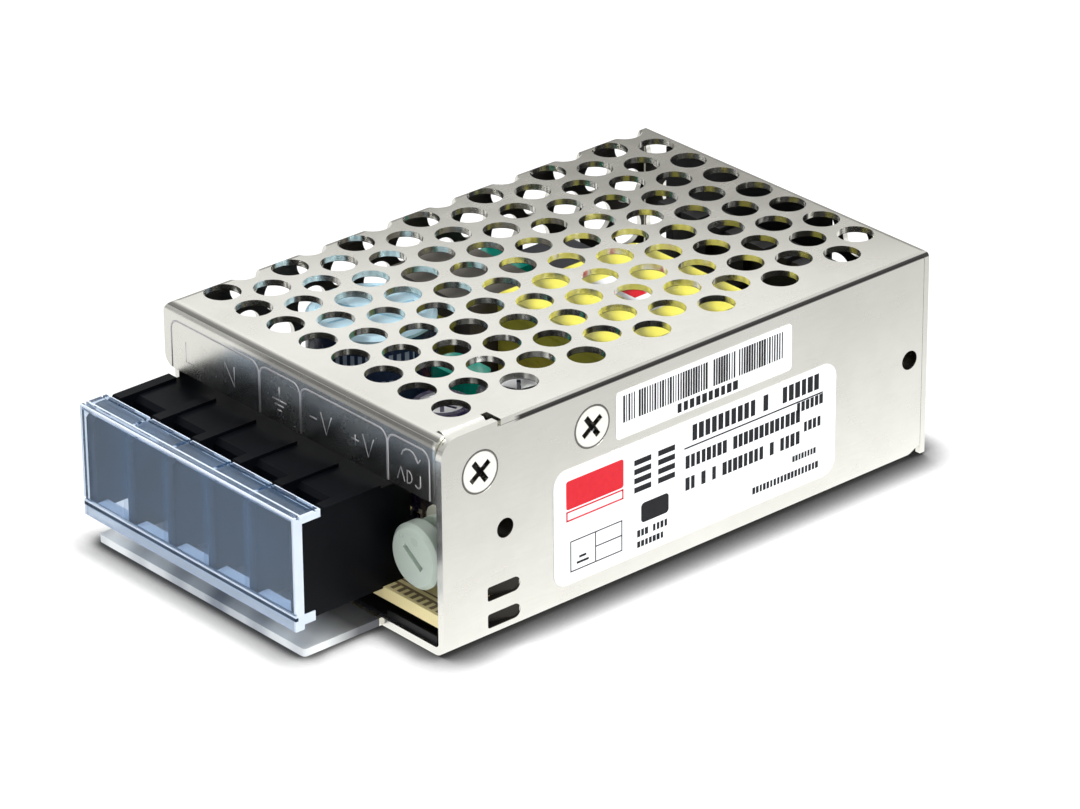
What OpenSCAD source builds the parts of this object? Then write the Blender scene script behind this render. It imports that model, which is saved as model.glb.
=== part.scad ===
// Enclosed mesh case switching power supply.
// A folded chassis (floor, right wall) carries the board. A folded, perforated cover closes the
// top, left and back. Five barrier terminals with a clear guard stand in front of the case.
// Sizes below are laid out from the case's front plane (y = 0), floor (z = 0) and middle (x = 0).

/* [Case] */
// Width of the case
case_w = 51; // [50.5:0.5:60]
// Length of the case without the terminals
case_l = 78; // [78:1:96]
// Height of the case
case_h = 28; // [28:0.5:34]
// Sheet thickness of the chassis
chassis_t = 1; // [0.8:0.1:1.2]
// Sheet thickness of the cover
cover_t = 0.8; // [0.6:0.1:1]
// Inside radius of every fold
fold_r = 0.6; // [0.4:0.1:0.9]
// Height of the chassis lips inside the cover
lip_h = 6; // [5:0.5:8]
// Drop of the cover's front flange
flange_drop = 8.4; // [7.5:0.1:8.8]
// Reach of the floor's tongue in front of the case
tongue_reach = 11.7; // [9:0.1:11.8]
// Length of the cover's screw tab along the right wall
tab_l = 8; // [7.6:0.1:9]

/* [Perforation] */
// Diameter of a vent hole
vent_d = 4.6; // [3.8:0.1:5]
// Distance between neighbouring vent holes
vent_pitch = 6; // [5.8:0.1:7]
// Distance of the first row from the front plane
vent_first = 6.6; // [6:0.1:8]
// Distance of the first column from the left edge
vent_edge = 3.1; // [3:0.1:4]

/* [Fastening] */
// Bore of the tapped mounting holes
mount_bore_d = 2.5; // [2.2:0.1:2.8]
// Depth of the collar behind each tapped hole
collar_h = 1.4; // [1:0.1:1.8]
// Wall of each collar round its bore
collar_wall = 0.8; // [0.6:0.1:1]
// Height of the side mounting holes
side_mount_z = 13.8; // [12:0.1:15]
// Front side mounting hole, from the front plane
side_mount_y = 9.5; // [8.5:0.1:10]
// Back side mounting hole, from the back plane
side_mount_end = 3; // [2.5:0.1:10]
// Front floor mounting hole, from the front plane
floor_mount_y = 14.5; // [12:0.5:20]
// Distance between the two floor mounting holes
floor_mount_gap = 45; // [40:0.5:50]
// Head diameter of the countersunk screws
csk_head_d = 5.6; // [5:0.1:5.9]
// Drop of the screws under the top of the case
csk_drop = 5.7; // [5.4:0.1:6.4]

/* [Terminal block] */
// Room for the output adjuster to the right of the block
adjuster_room = 11.1; // [11:0.1:12]
// Thickness of the barriers
barrier_t = 1.5; // [1.2:0.1:1.8]
// Reach of the barriers in front of the case
barrier_reach = 11.6; // [11.2:0.1:11.6]
// Underside of the barriers
block_bottom = 4.8; // [4.6:0.1:4.9]
// Gap between the barriers' top and the cover's front flange
block_gap = 1.3; // [1:0.1:1.8]
// Depth of the block behind the front plane
block_depth = 4.6; // [4:0.1:5.2]
// Diameter of a terminal screw's shank
term_screw_d = 2.9; // [2.6:0.1:3.1]
// Gap between a clamp washer and the barriers beside it
washer_gap = 0.16; // [0.1:0.02:0.3]

/* [Terminal cover] */
// Wall of the clear cover
guard_t = 1.3; // [1.1:0.1:1.3]
// Depth of the cover's upper lip over the barriers
guard_lip_top = 2.7; // [2.2:0.1:3]
// Depth of the cover's lower lip under the barriers
guard_lip_low = 1.6; // [1.2:0.1:2.4]

/* [Output adjuster] */
// Distance of the adjuster's axis from the right side of the case
knob_inset = 5.6; // [5.5:0.1:5.9]
// Height of the adjuster's axis
knob_z = 11; // [10.5:0.1:12]
// Diameter of the knob's face
knob_d = 8.2; // [7:0.1:8.4]

/* [Board] */
// Thickness of the circuit board
board_t = 1.6; // [1.2:0.1:1.6]
// Gap between floor and board
board_gap = 2.4; // [2.4:0.1:3]

/* [Inside] */
// Diameter of the bulk capacitor
bulk_d = 16; // [14:0.5:16]
// Gap between the bulk capacitor and the case's top
bulk_gap = 2.8; // [1:0.1:5]
// Gap between the transformer and the case's top
core_gap = 2.2; // [1.4:0.1:5]
// Diameter of the first output capacitor
out_cap_d = 10; // [8:0.5:10]
// Gap between the first output capacitor and the case's top
out_cap_gap = 1.8; // [1:0.1:5]

/* [Labels] */
// Thickness of the labels
label_t = 0.1; // [0.08:0.01:0.2]
// Length of the rating label
label_l = 45.5; // [40:0.5:46]
// Gap between the rating label and the screw above it
label_gap = 1.5; // [1:0.1:3]

/* [Hidden] */
$fn = 48;

eps = 0.01;
seat = 0.05;                                  // clearance between pieces that seat on each other
right = case_w/2;
left = -case_w/2;
ways = 5;                                     // terminals, each with a screw and a washer of its own
guard_front = barrier_reach + seat + guard_t; // foremost point of the terminal cover
front_shift = -(case_l - guard_front)/2;      // puts the origin under the middle of the whole

fold_out = fold_r + chassis_t;
chassis_left = left + cover_t + seat;
chassis_back = case_l - cover_t - seat;
wall_in = right - chassis_t;
tab_face = wall_in - seat;
cover_left_in = left + cover_t;
cover_low = 0.3;                              // underside of the cover's walls
tab_below = 4.2;                              // reach of the screw tab under its screw
flange_z = case_h - flange_drop;
relief_w = 1;                                 // notch behind the screw tab
relief_gap = 0.4;                             // slot between the flange and the screw tab
seam = 0.3;                                   // open seam where the left and back walls meet
tongue_corner_r = 0.5;
corner_relief_d = 3;                          // where the chassis's floor, back lip and wall meet

board_z = chassis_t + board_gap;
board_top = board_z + board_t;
board_left = chassis_left + chassis_t + 0.4;
board_right = wall_in - 0.3;
board_front = 0.3;
board_back = chassis_back - chassis_t - 0.3;
film_t = 0.3;
lance_reach = 1.2;
lance_l = 5.2;
lance_h = 1.85;
lance_cut = 0.3;                              // gap sheared at the tip of each lance
lance_tip = 0.8;                              // thickness left at its tip
lance_root = 0.4;
lance_y = side_mount_y - 2.6;

vent_row = vent_pitch*sqrt(3)/2;
fold_reach = fold_r + cover_t;
neutral_line = 0.4;                           // part of the sheet's thickness that keeps its length
bend_deduction = 2*fold_reach - (fold_r + neutral_line*cover_t)*PI/2;
vent_x0 = left + vent_edge;
vent_margin = 3.2;                            // whole sheet between the last column and the right edge
vent_back = 1.4;                              // least sheet between the last row and the back edge
vent_rows = floor((case_l - vent_first - vent_d/2 - vent_back)/vent_row) + 1;
vent_cols = ceil(case_w/vent_pitch);

block_x0 = left + 0.3;
block_x1 = right - adjuster_room;
block_top = flange_z - block_gap;
term_pitch = (block_x1 - block_x0 - barrier_t)/ways;
washer_w = term_pitch - barrier_t - 2*washer_gap;
term_head_d = washer_w - 0.4;
block_in_x0 = cover_left_in + 0.4;
cell_back = -1.8;
roof_front = -6.2;
roof_t = 2;
contact_t = 0.8;
barrier_drop = 0.9;                           // step of the barriers where the guard's lips sit
washer_t = 0.7;
head_h = 2;
term_z = (block_bottom + block_top - roof_t)/2 + 0.4;
contact_low = block_bottom + 1.55;
washer_y = cell_back - contact_t - seat;
leg_y = 1.4;
leg_w = 1.2;
shank_fit = 0.05;

guard_left = left;
guard_right = block_x1 + 0.1;
tongue_right = block_x1 - 0.1;

csk_z = case_h - csk_drop;
screw_tab_y = 5.8;
spreader_screw_y = 23;
csk_depth = 0.85;
csk_shank_d = 2.6;
csk_screw_l = 3.2;

// helpers ---------------------------------------------------------------------------------------
module at_case() { translate([0, front_shift, 0]) children(); }

module block(from, to) { translate(from) cube(to - from); }

// extrudes a section drawn in x and z along the case
module along_y(from, to) { translate([0, to, 0]) rotate([90, 0, 0]) linear_extrude(to - from) children(); }

// extrudes a section drawn in y and z across the case
module along_x(from, to) {
    translate([from, 0, 0]) rotate([90, 0, 90]) linear_extrude(to - from) children();
}

// pins whose axis lies along y or x
module rod_y(d, from, to) { translate([0, to, 0]) rotate([90, 0, 0]) cylinder(d = d, h = to - from); }
module rod_x(d, from, to) { translate([from, 0, 0]) rotate([0, 90, 0]) cylinder(d = d, h = to - from); }

// rectangle whose four corners have their own radius: lower left, lower right, upper right, upper left
module corner_square(x0, y0, x1, y1, r) {
    difference() {
        translate([x0, y0]) square([x1 - x0, y1 - y0]);
        for (c = [[x0, y0, 1, 1, r[0]], [x1, y0, -1, 1, r[1]], [x1, y1, -1, -1, r[2]],
                [x0, y1, 1, -1, r[3]]])
            if (c[4] > 0)
                translate([c[0], c[1]]) scale([c[2], c[3]]) difference() {
                    translate([-1, -1]) square([c[4] + 1, c[4] + 1]);
                    translate([c[4], c[4]]) circle(c[4]);
                }
    }
}

// round electronic can standing on the board: sleeve crimp and a scored top
module can(d, h) {
    crimp = 0.35;
    score = 0.5;
    dish = 0.3;                               // depth of the lid inside its rolled rim
    r = d/2;
    difference() {
        rotate_extrude() polygon([[0, 0], [r, 0], [r, 1.4], [r - crimp, 1.8], [r - crimp, 2.4], [r, 2.8],
            [r, h - score], [r - score, h], [r - 1.2, h], [r - 1.3, h - dish], [0, h - dish]]);
        for (a = [0, 60, 120]) rotate(a + 20)
            translate([2 - r, -score/2, h - dish - 0.25]) cube([d - 4, score, 1]);
    }
}

// box with a rounded outline, standing on z = 0
module soft_box(size, r) {
    linear_extrude(size[2]) corner_square(0, 0, size[0], size[1], [r, r, r, r]);
}

lead_l = 3;                                   // height of a power package above the board

// power package with a metal tab of height l, lying against a face at x = 0 and growing towards -x
module power_package(l) {
    w = 10.2;
    body_t = 4.4;
    body_h = 9;
    tab_t = 1.3;
    lead_gap = 2.54;
    difference() {
        union() {
            block([-body_t, 0, lead_l], [0, w, lead_l + body_h]);
            block([-tab_t, 0, lead_l + body_h - eps], [0, w, lead_l + l]);
        }
        translate([0, w/2, lead_l + l - 2.8]) rod_x(3.6, -body_t, 1);
    }
    for (k = [-1:1])
        block([-2.8, w/2 + k*lead_gap - 0.4, 0], [-2.3, w/2 + k*lead_gap + 0.4, lead_l + eps]);
}

// countersunk screw with its head in the plane x = 0, pointing to -x
module csk_screw(length) {
    difference() {
        rotate([0, -90, 0]) rotate_extrude() polygon([[0, 0], [csk_head_d/2 - seat, 0],
            [csk_shank_d/2, csk_depth + 0.5], [csk_shank_d/2, length], [0, length]]);
        for (a = [0, 90]) rotate([a + 35, 0, 0])
            block([-1.1, -1.7, -0.38], [eps, 1.7, 0.38]);
    }
}

// tapered seat for such a screw through a wall whose outside is x = 0
module csk_hole() {
    rotate([0, -90, 0]) translate([0, 0, -eps]) rotate_extrude() polygon([[0, 0], [csk_head_d/2, 0],
        [csk_shank_d/2 + seat, csk_depth + 0.5], [csk_shank_d/2 + seat, 6], [0, 6]]);
}

// vent holes -------------------------------------------------------------------------------------
// position along the sheet of column k in row n, and whether the row is one of the shifted ones
function shifted(n) = n % 2;
function vent_x(n, k) = vent_x0 + (k + shifted(n)/2)*vent_pitch;
function vent_y(n) = vent_first + n*vent_row;
// height on a folded-down wall of a point that lies `over` past the top's edge along the sheet
function down(over) = case_h - over - bend_deduction;
wall_low = lip_h + 2;

module top_vents() {
    for (n = [0:vent_rows - 1]) for (k = [0:vent_cols - 1])
        if (vent_x(n, k) < right - vent_d/2 - vent_margin)
            translate([vent_x(n, k), vent_y(n), case_h - cover_t - 1])
                cylinder(d = vent_d, h = cover_t + 2);
}

module left_vents() {
    for (n = [0:vent_rows - 1]) {
        for (k = [1:4]) {
            z = down(left - vent_x(n, -k));
            if (z > wall_low && left - vent_x(n, -k) > 1)
                translate([0, vent_y(n), z]) rod_x(vent_d, left - 1, cover_left_in + 1);
        }
        if (shifted(n) == 1) fold_vent(n);
    }
}

// hole that runs round the left fold
module fold_vent(n) {
    z = case_h - fold_reach;
    translate([0, vent_y(n), z]) rod_x(vent_d, left - 1, left + fold_reach);
    translate([vent_x(n, -1), vent_y(n), z]) cylinder(d = vent_d, h = fold_reach + 1);
}

module back_vents() {
    for (n = [vent_rows:vent_rows + 3]) for (k = [0:vent_cols - 1]) {
        z = down(vent_y(n) - case_l);
        if (z > wall_low && vent_x(n, k) < right - vent_d/2 - vent_margin)
            translate([vent_x(n, k), 0, z]) rod_y(vent_d, case_l - cover_t - 0.2, case_l + 1);
    }
}

// case -------------------------------------------------------------------------------------------
// solid within the cover's outer faces
module cover_block() {
    intersection() {
        along_y(0, case_l) corner_square(left, cover_low, right, case_h, [0, 0, 0, fold_reach]);
        along_x(left, right) corner_square(0, cover_low, case_l, case_h, [0, 0, fold_reach, fold_reach]);
    }
}

// the hollow under its sheet, open below and to the right
module cover_hollow() {
    top = case_h - cover_t;
    intersection() {
        along_y(cover_t, case_l - cover_t)
            corner_square(cover_left_in, -1, right + 1, top, [0, 0, 0, fold_r]);
        along_x(left, right + 1)
            corner_square(cover_t, -1, case_l - cover_t, top, [0, 0, fold_r, fold_r]);
    }
}

module cover() color("#c9c8c4") at_case() {
    difference() {
        cover_block();
        cover_hollow();
        block([left - 1, -1, -1], [right + 1, fold_reach, flange_z]);
        // the top stops at the right wall's inside along the front, where the tab folds down
        block([tab_face, -1, -1], [right + 1, tab_l + relief_w, case_h + 1]);
        block([tab_face - fold_reach, fold_reach, -1], [right + 1, tab_l + relief_w, case_h + 1]);
        top_vents();
        left_vents();
        back_vents();
        flange_corner();
        corner_seam();
    }
    difference() {
        screw_tab();
        translate([right, screw_tab_y, csk_z]) csk_hole();
    }
}

// the left and back walls are folded one by one, so an open seam runs up their corner
module corner_seam() {
    back = case_l - cover_t;
    block([left - 1, back - seam, -1], [cover_left_in + eps, back, case_h - fold_reach]);
}

// rounds the flange's lower left corner
module flange_corner() {
    r = 1.6;
    along_y(-1, cover_t + eps) translate([left, flange_z]) difference() {
        translate([-1, -1]) square([r + 1, r + 1]);
        translate([r, r]) circle(r);
    }
}

// fold and tab behind the right wall at the front
module screw_tab() {
    low = csk_z - tab_below;
    along_y(fold_reach + relief_gap, tab_l) difference() {
        corner_square(tab_face - fold_reach - eps, low, tab_face, case_h, [0, 0, fold_reach, 0]);
        corner_square(tab_face - fold_reach - 1, low - 1, tab_face - cover_t, case_h - cover_t,
            [0, 0, fold_r, 0]);
    }
}

module cover_screws() color("#d8d6d0") at_case() {
    translate([right, screw_tab_y, csk_z]) csk_screw(csk_screw_l);
}

module chassis() color("#bdbcb8") at_case() {
    difference() {
        union() {
            chassis_shell();
            block([chassis_left, -tongue_reach, 0], [tongue_right, fold_out, chassis_t]);
            for (z = [board_z - seat - lance_h, board_top + seat]) lance(z);
            side_holes() collar_x();
            floor_holes() collar_z();
        }
        for (z = [board_z - seat - lance_h, board_top + seat]) lance_slot(z);
        side_holes() rod_x(mount_bore_d, -6, 1);
        floor_holes() translate([0, 0, -1]) cylinder(d = mount_bore_d, h = 8);
        for (y = [screw_tab_y, spreader_screw_y]) translate([right, y, csk_z]) csk_hole();
        corner_relief();
        tongue_corners();
    }
}

module chassis_shell() {
    wall_top = case_h - 0.1;
    corner_r = 2.5;
    difference() {
        chassis_volume(0, 0, case_h);
        chassis_volume(chassis_t, -1, case_h + 1);
        // the left wall is only a lip, which starts behind the terminal block
        block([chassis_left - 1, -1, lip_h], [wall_in - fold_r, case_l, case_h + 2]);
        block([chassis_left - 1, -1, chassis_t], [chassis_left + fold_out, block_depth + 1.6, case_h]);
        // back lip only
        block([chassis_left - 1, chassis_back - fold_out, lip_h], [wall_in, case_l, case_h + 2]);
        // top edge of the right wall: full height at the tab, below the cover's sheet behind it
        block([wall_in - 1, tab_l + relief_w/2, case_h - cover_t - seat], [right + 1, case_l, case_h + 2]);
        block([wall_in - 1, -1, wall_top], [right + 1, case_l, case_h + 2]);
        // upper back corner clears the inside of the cover's fold
        translate([0, chassis_back - fold_r, case_h - cover_t - seat - fold_r])
            along_x(wall_in - 1, right + 1) difference() {
                square(fold_r + 1);
                circle(fold_r);
            }
        // rounded front upper corner
        translate([0, 0, wall_top]) along_x(wall_in - 1, right + 1) difference() {
            translate([-1, -corner_r]) square([corner_r + 1, corner_r + 1]);
            translate([corner_r, -corner_r]) circle(corner_r);
        }
    }
}

// solid within the chassis's outer faces, moved in by `inset` and starting at `front`
module chassis_volume(inset, front, top) {
    r = fold_out - inset;
    intersection() {
        along_y(front, chassis_back - inset)
            corner_square(chassis_left + inset, inset, right - inset, top, [r, r, 0, 0]);
        along_x(chassis_left, right)
            corner_square(-2, inset, chassis_back - inset, top, [0, r, 0, 0]);
    }
}

module side_holes() {
    for (y = [side_mount_y, case_l - side_mount_end]) translate([right, y, side_mount_z]) children();
}

module floor_holes() {
    for (y = [floor_mount_y, floor_mount_y + floor_mount_gap]) translate([0, y, 0]) children();
}

module collar_x() {
    rod_x(mount_bore_d + 2*collar_wall, -chassis_t - collar_h, -chassis_t/2);
}

module collar_z() {
    translate([0, 0, chassis_t/2]) cylinder(d = mount_bore_d + 2*collar_wall, h = chassis_t/2 + collar_h);
}

// tongue sheared from the right wall and pressed in to guide the board's edge
module lance(z) {
    translate([0, lance_y, z]) linear_extrude(lance_h)
        polygon([[right - chassis_t/2, lance_l], [wall_in, lance_l], [wall_in - lance_reach, lance_cut],
            [wall_in - lance_reach + lance_tip, lance_cut], [right - 0.1, lance_l - lance_root]]);
}

module lance_slot(z) {
    r = lance_h/2 - eps;
    translate([0, lance_y, z]) intersection() {
        along_x(right - chassis_t - 0.001, right + 1)
            corner_square(-0.2, 0, lance_l - lance_root, lance_h, [lance_cut, r, r, lance_cut]);
        linear_extrude(lance_h + 1)
            polygon([[right + 2, lance_l], [right - 0.1, lance_l - lance_root],
                [wall_in - lance_reach + lance_tip, lance_cut],
                [wall_in - lance_reach, -1], [right + 2, -1]]);
    }
}

module corner_relief() {
    translate([0, chassis_back, 0]) rod_x(corner_relief_d, right - chassis_t - 1, right + 1);
}

module tongue_corners() {
    r = tongue_corner_r;
    for (c = [[chassis_left, 1], [tongue_right, -1]])
        translate([c[0], -tongue_reach, -1]) scale([c[1], 1, 1]) linear_extrude(chassis_t + 2)
            difference() {
                translate([-1, -1]) square([r + 1, r + 1]);
                translate([r, r]) circle(r);
            }
}

module insulation_film() color("#1c1c1e") at_case() {
    z = chassis_t + 0.02;
    x0 = chassis_left + fold_out + 0.1;
    x1 = wall_in - fold_r - 0.1;
    difference() {
        union() {
            block([x0, 0.4, z], [x1, board_back - standoff_inset - standoff_d/2 - 0.6, z + film_t]);
            // the front edge stands up a little beside the terminal block
            block([block_x1 + 0.4, 0.4, z], [x1, 0.4 + film_t, z + 1.1]);
        }
        floor_holes() translate([0, 0, -1]) cylinder(d = mount_bore_d + 2*collar_wall + 1.4, h = 8);
    }
}

module heatsink_screw() color("#d8d6d0") at_case() {
    translate([right, spreader_screw_y, csk_z]) csk_screw(csk_screw_l);
}

// labels ------------------------------------------------------------------------------------------
label_y = 16.9;
label_z = 2.9;
label_r = 2;
label_h = csk_z - csk_head_d/2 - label_gap - label_z;
module rating_label() color("#f2f3f3") at_case() {
    translate([0, label_y, label_z]) along_x(right, right + label_t)
        corner_square(0, 0, label_l, label_h, [label_r, label_r, label_r, label_r]);
}

serial_l = 28.2;
serial_in = 9.8;                              // from the rating label's front end
serial_gap = 1.2;                             // between the labels
serial_drop = 2.7;                            // below the top of the case
serial_y = label_y + serial_in;
serial_z = label_z + label_h + serial_gap;
serial_h = case_h - serial_drop - serial_z;
serial_r = 0.5;
module serial_label() color("#eef0f2") at_case() {
    translate([0, serial_y, serial_z]) along_x(right, right + label_t)
        corner_square(0, 0, serial_l, serial_h, [serial_r, serial_r, serial_r, serial_r]);
}

// terminals ---------------------------------------------------------------------------------------
function cell_x(n) = block_x0 + barrier_t/2 + (n - 0.5)*term_pitch;

module terminal_block() color("#17171a") at_case() {
    step_y = -barrier_reach + guard_lip_top + 0.2;
    housing_back = 0.2;
    roof_z = block_top - 0.4;
    roof_ease = 0.6;
    foot_z = board_top + 0.02;
    difference() {
        union() {
            // housing behind the cells and its roof
            along_x(block_x0, block_x1) polygon([[cell_back, block_bottom], [housing_back, block_bottom],
                [housing_back, roof_z], [roof_front + roof_ease, roof_z], [roof_front, roof_z - roof_ease],
                [roof_front, block_top - roof_t], [cell_back, block_top - roof_t]]);
            along_x(block_in_x0, block_x1) polygon([[0.1, foot_z], [block_depth, foot_z],
                [block_depth, roof_z - 1], [block_depth - 1, roof_z], [0.1, roof_z]]);
            for (n = [0:ways]) barrier(block_x0 + n*term_pitch, step_y);
        }
        for (n = [1:ways]) translate([cell_x(n), 0, 0]) contact_room();
    }
}

// one barrier plate: stepped down where the cover's lips sit, front corners eased
module barrier(x, step_y) {
    low_y = -barrier_reach + guard_lip_low + 0.2;
    low = block_bottom + barrier_drop;
    top = block_top - barrier_drop;
    ease = 0.5;
    nose = 0.8;
    along_x(x, x + barrier_t) polygon([[-barrier_reach, low], [low_y, low], [low_y, block_bottom],
        [0.2, block_bottom], [0.2, block_top], [step_y + ease, block_top], [step_y, block_top - ease],
        [step_y, top], [-barrier_reach + nose, top], [-barrier_reach, top - nose]]);
}

// what a contact plate, its leg and the screw's shank need inside the housing
module contact_room() {
    leg_x = leg_w/2 + 0.1;
    top = contact_low + contact_t;
    translate([0, 0, term_z]) rod_y(term_screw_d + 0.6, cell_back - 1, cell_back + 5);
    block([-leg_x, cell_back - eps, contact_low - seat], [leg_x, leg_y + 0.5, top + seat]);
    block([-leg_x, leg_y - 0.5, block_bottom - 1], [leg_x, leg_y + 0.5, top]);
}

module terminal_contacts() color("#cfcabb") at_case() {
    plate_x = washer_w/2 + seat;
    leg_x = leg_w/2;
    front = cell_back - contact_t;
    for (n = [1:ways]) translate([cell_x(n), 0, 0]) difference() {
        union() {
            block([-plate_x, front, contact_low], [plate_x, cell_back - 0.02, term_z + 3.6]);
            block([-leg_x, front, contact_low], [leg_x, leg_y + 0.4, contact_low + contact_t]);
            block([-leg_x, leg_y - 0.4, board_z - 0.9], [leg_x, leg_y + 0.4, contact_low + eps]);
        }
        translate([0, 0, term_z]) rod_y(term_screw_d + 2*shank_fit, cell_back - 3, cell_back + 1);
    }
}

module clamp_washer(n) color("#d6d3c8") at_case() {
    translate([cell_x(n), 0, term_z]) difference() {
        along_y(washer_y - washer_t, washer_y)
            corner_square(-washer_w/2, -washer_w/2, washer_w/2, washer_w/2, [0.6, 0.6, 0.6, 0.6]);
        rod_y(term_screw_d + 0.4, washer_y - 2, washer_y + 1);
    }
}

module terminal_screw(n) color("#dcdad2") at_case() {
    head_y = washer_y - washer_t;
    shank_l = 5;
    shank_r = term_screw_d/2;
    head_r = term_head_d/2;
    point = 0.4;
    dome = 0.7;
    translate([cell_x(n), head_y, term_z]) difference() {
        rotate([90, 0, 0]) rotate_extrude() polygon([[0, -shank_l], [shank_r - point, -shank_l],
            [shank_r, point - shank_l], [shank_r, 0], [head_r, 0], [head_r, head_h - dome],
            [head_r - dome, head_h], [0, head_h]]);
        for (a = [0, 90]) rotate([0, a, 0]) block([-1.9, -head_h - eps, -0.35], [1.9, -head_h + 1.1, 0.35]);
    }
}

module terminal_cover() color("#c4d2e0", 0.45) at_case() {
    back = -barrier_reach - seat;
    y0 = back - guard_t;
    top = block_top + 0.15;
    drop = barrier_drop;
    low = block_bottom + drop - 1.3;
    lip_top_y = -barrier_reach + guard_lip_top;
    lip_low_y = -barrier_reach + guard_lip_low;
    groove = 0.45;
    difference() {
        along_x(guard_left, guard_right) difference() {
            union() {
                translate([y0, low - 0.6]) square([guard_t, top - low + 0.6]);
                translate([y0, block_top - drop + seat])
                    square([lip_top_y - y0, top - block_top + drop - seat]);
                translate([y0, low]) square([lip_low_y - y0, block_bottom + drop - seat - low]);
            }
            translate([y0 + 0.5, top - groove]) square([groove, 1]);
            translate([lip_top_y - 0.9, top - 0.25]) square([0.3, 1]);
            translate([y0 - eps, low + 1.4]) square([0.25, 0.35]);
        }
        // a shallow mark over each inner barrier
        for (n = [1:ways - 1]) translate([block_x0 + n*term_pitch + barrier_t/2 - 0.25, 0, 0])
            block([0, back + 0.3, top - 0.3], [0.5, lip_top_y + 1, top + 1]);
    }
}

// output adjuster -----------------------------------------------------------------------------------
knob_x = right - knob_inset;
knob_face = 0.2;
knob_t = 2.4;
neck_t = 1.4;
collar_t = 0.9;
trimmer_front = knob_face + knob_t + neck_t + collar_t + 0.1;
shaft_d = 4;

module trimmer_knob() color("#e9ece8") at_case() {
    r = knob_d/2;
    neck_r = 2.6;
    collar_r = 3.8;
    neck_end = knob_t + neck_t;
    collar_end = neck_end + collar_t;
    shaft_end = collar_end + 3.4;
    slot_w = 0.8;
    slot_l = 3.8;
    translate([knob_x, knob_face, knob_z]) difference() {
        rotate([-90, 0, 0]) rotate_extrude() polygon([[0, 0], [r - 0.5, 0], [r, 0.5], [r, knob_t - 0.3],
            [r - 0.3, knob_t], [neck_r, knob_t], [neck_r, neck_end], [collar_r, neck_end],
            [collar_r, collar_end], [shaft_d/2, collar_end], [shaft_d/2, shaft_end], [0, shaft_end]]);
        rotate([0, 35, 0]) block([-slot_l/2, -eps, -slot_w/2], [slot_l/2, 1, slot_w/2]);
    }
}

module trimmer_body() color("#e4e2d4") at_case() {
    w = 2*(wall_in - collar_h - 0.1 - knob_x);
    depth = 4.2;
    top = knob_z + 4.4;
    bore_d = shaft_d + 2*shank_fit;
    difference() {
        translate([knob_x - w/2, trimmer_front, board_top]) rotate([90, 0, 0]) translate([0, 0, -depth])
            linear_extrude(depth) corner_square(0, 0, w, top - board_top, [0, 0, 1.5, 1.5]);
        translate([knob_x, 0, knob_z]) rod_y(bore_d, trimmer_front - 1, trimmer_front + depth + 1);
    }
}

// board -----------------------------------------------------------------------------------------------
standoff_d = 5.4;
standoff_inset = 3.8;
board_screw_d = 2.5;

module standoff_places() {
    for (x = [board_left + standoff_inset, board_right - standoff_inset])
        translate([x, board_back - standoff_inset, chassis_t]) children();
}

module circuit_board() color("#d9c48b") at_case() {
    difference() {
        block([board_left, board_front, board_z], [board_right, board_back, board_top]);
        standoff_places() cylinder(d = board_screw_d + 0.7, h = 8);
        for (n = [1:ways]) translate([cell_x(n), leg_y, 0]) cylinder(d = 1.9, h = 8);
    }
}

module board_standoffs() color("#c8c7c2") at_case() {
    standoff_places() difference() {
        cylinder(d = standoff_d, h = board_gap);
        translate([0, 0, -1]) cylinder(d = board_screw_d, h = 8);
    }
}

module board_screws() color("#d8d6d0") at_case() {
    r = board_screw_d/2;
    low = -3.6;
    head_r = 2.5;
    rim = 1;
    top = 1.7;
    slot = [2.8, 0.6];
    standoff_places() translate([0, 0, board_gap + board_t]) difference() {
        rotate_extrude() polygon([[0, low], [r, low], [r, 0], [head_r, 0], [head_r, rim],
            [head_r - 0.6, top], [0, top]]);
        for (a = [0, 90]) rotate(a) block([-slot[0]/2, -slot[1]/2, rim], [slot[0]/2, slot[1]/2, top + 1]);
    }
}

// parts on the board --------------------------------------------------------------------------------------
// places each part by its corner or centre, measured from the board's left front corner on its top face
module on_board(x, y) { translate([board_left + x, board_front + y, board_top]) children(); }

board_w = board_right - board_left;
board_l = board_back - board_front;
headroom = case_h - cover_t - board_top;      // from the board to the underside of the case's top
rear_row = 17.75;                             // depth of the row of parts along the back
rear_y = board_l - rear_row;
side_room = 7.05;                             // strip for small parts along the right edge

// each part has its place (_x, _y) and its size across, along and above the board (_w, _l, _h)
bulk_x = 10.6;
bulk_y = 21.2;

bridge_w = 14.4;
bridge_l = 4.6;
bridge_h = 10;
bridge_x = 1.6;
bridge_in = 4;                                // from the front of the rear row
bridge_y = rear_y + bridge_in;

x_cap_w = 15;
x_cap_l = 8;
x_cap_h = 14;
x_cap_x = 1.2;
x_cap_gap = 1.4;
x_cap_y = bridge_y - x_cap_gap - x_cap_l;

y_cap_d = 6;
y_cap_t = 2.4;
y_cap_x = 4.8;
y_cap_step = 8.4;
y_cap_y = x_cap_y - 0.2 - y_cap_t/2;

film_round = 1.4;
side_cap_w = 7.6;
side_cap_l = 4.2;
side_cap_h = 16;
side_cap_x = 0.8;
side_cap_y = y_cap_y - y_cap_t/2 - 0.1 - side_cap_l;
front_cap_w = 7.4;
front_cap_l = 4.6;
front_cap_h = 15.6;
front_cap_x = 20;
front_cap_y = 21.8;

choke_x = 1.4;
choke_y = 31.4;
choke_w = 15.6;
choke_gap = 2.3;
choke_l = side_cap_y - choke_gap - choke_y;
choke_h = headroom - 3.6;
choke_leg = 3;
choke_foot = 3.2;
choke_round = 1.2;
choke_proud = 0.6;                            // winding beyond the core at each end

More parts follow.
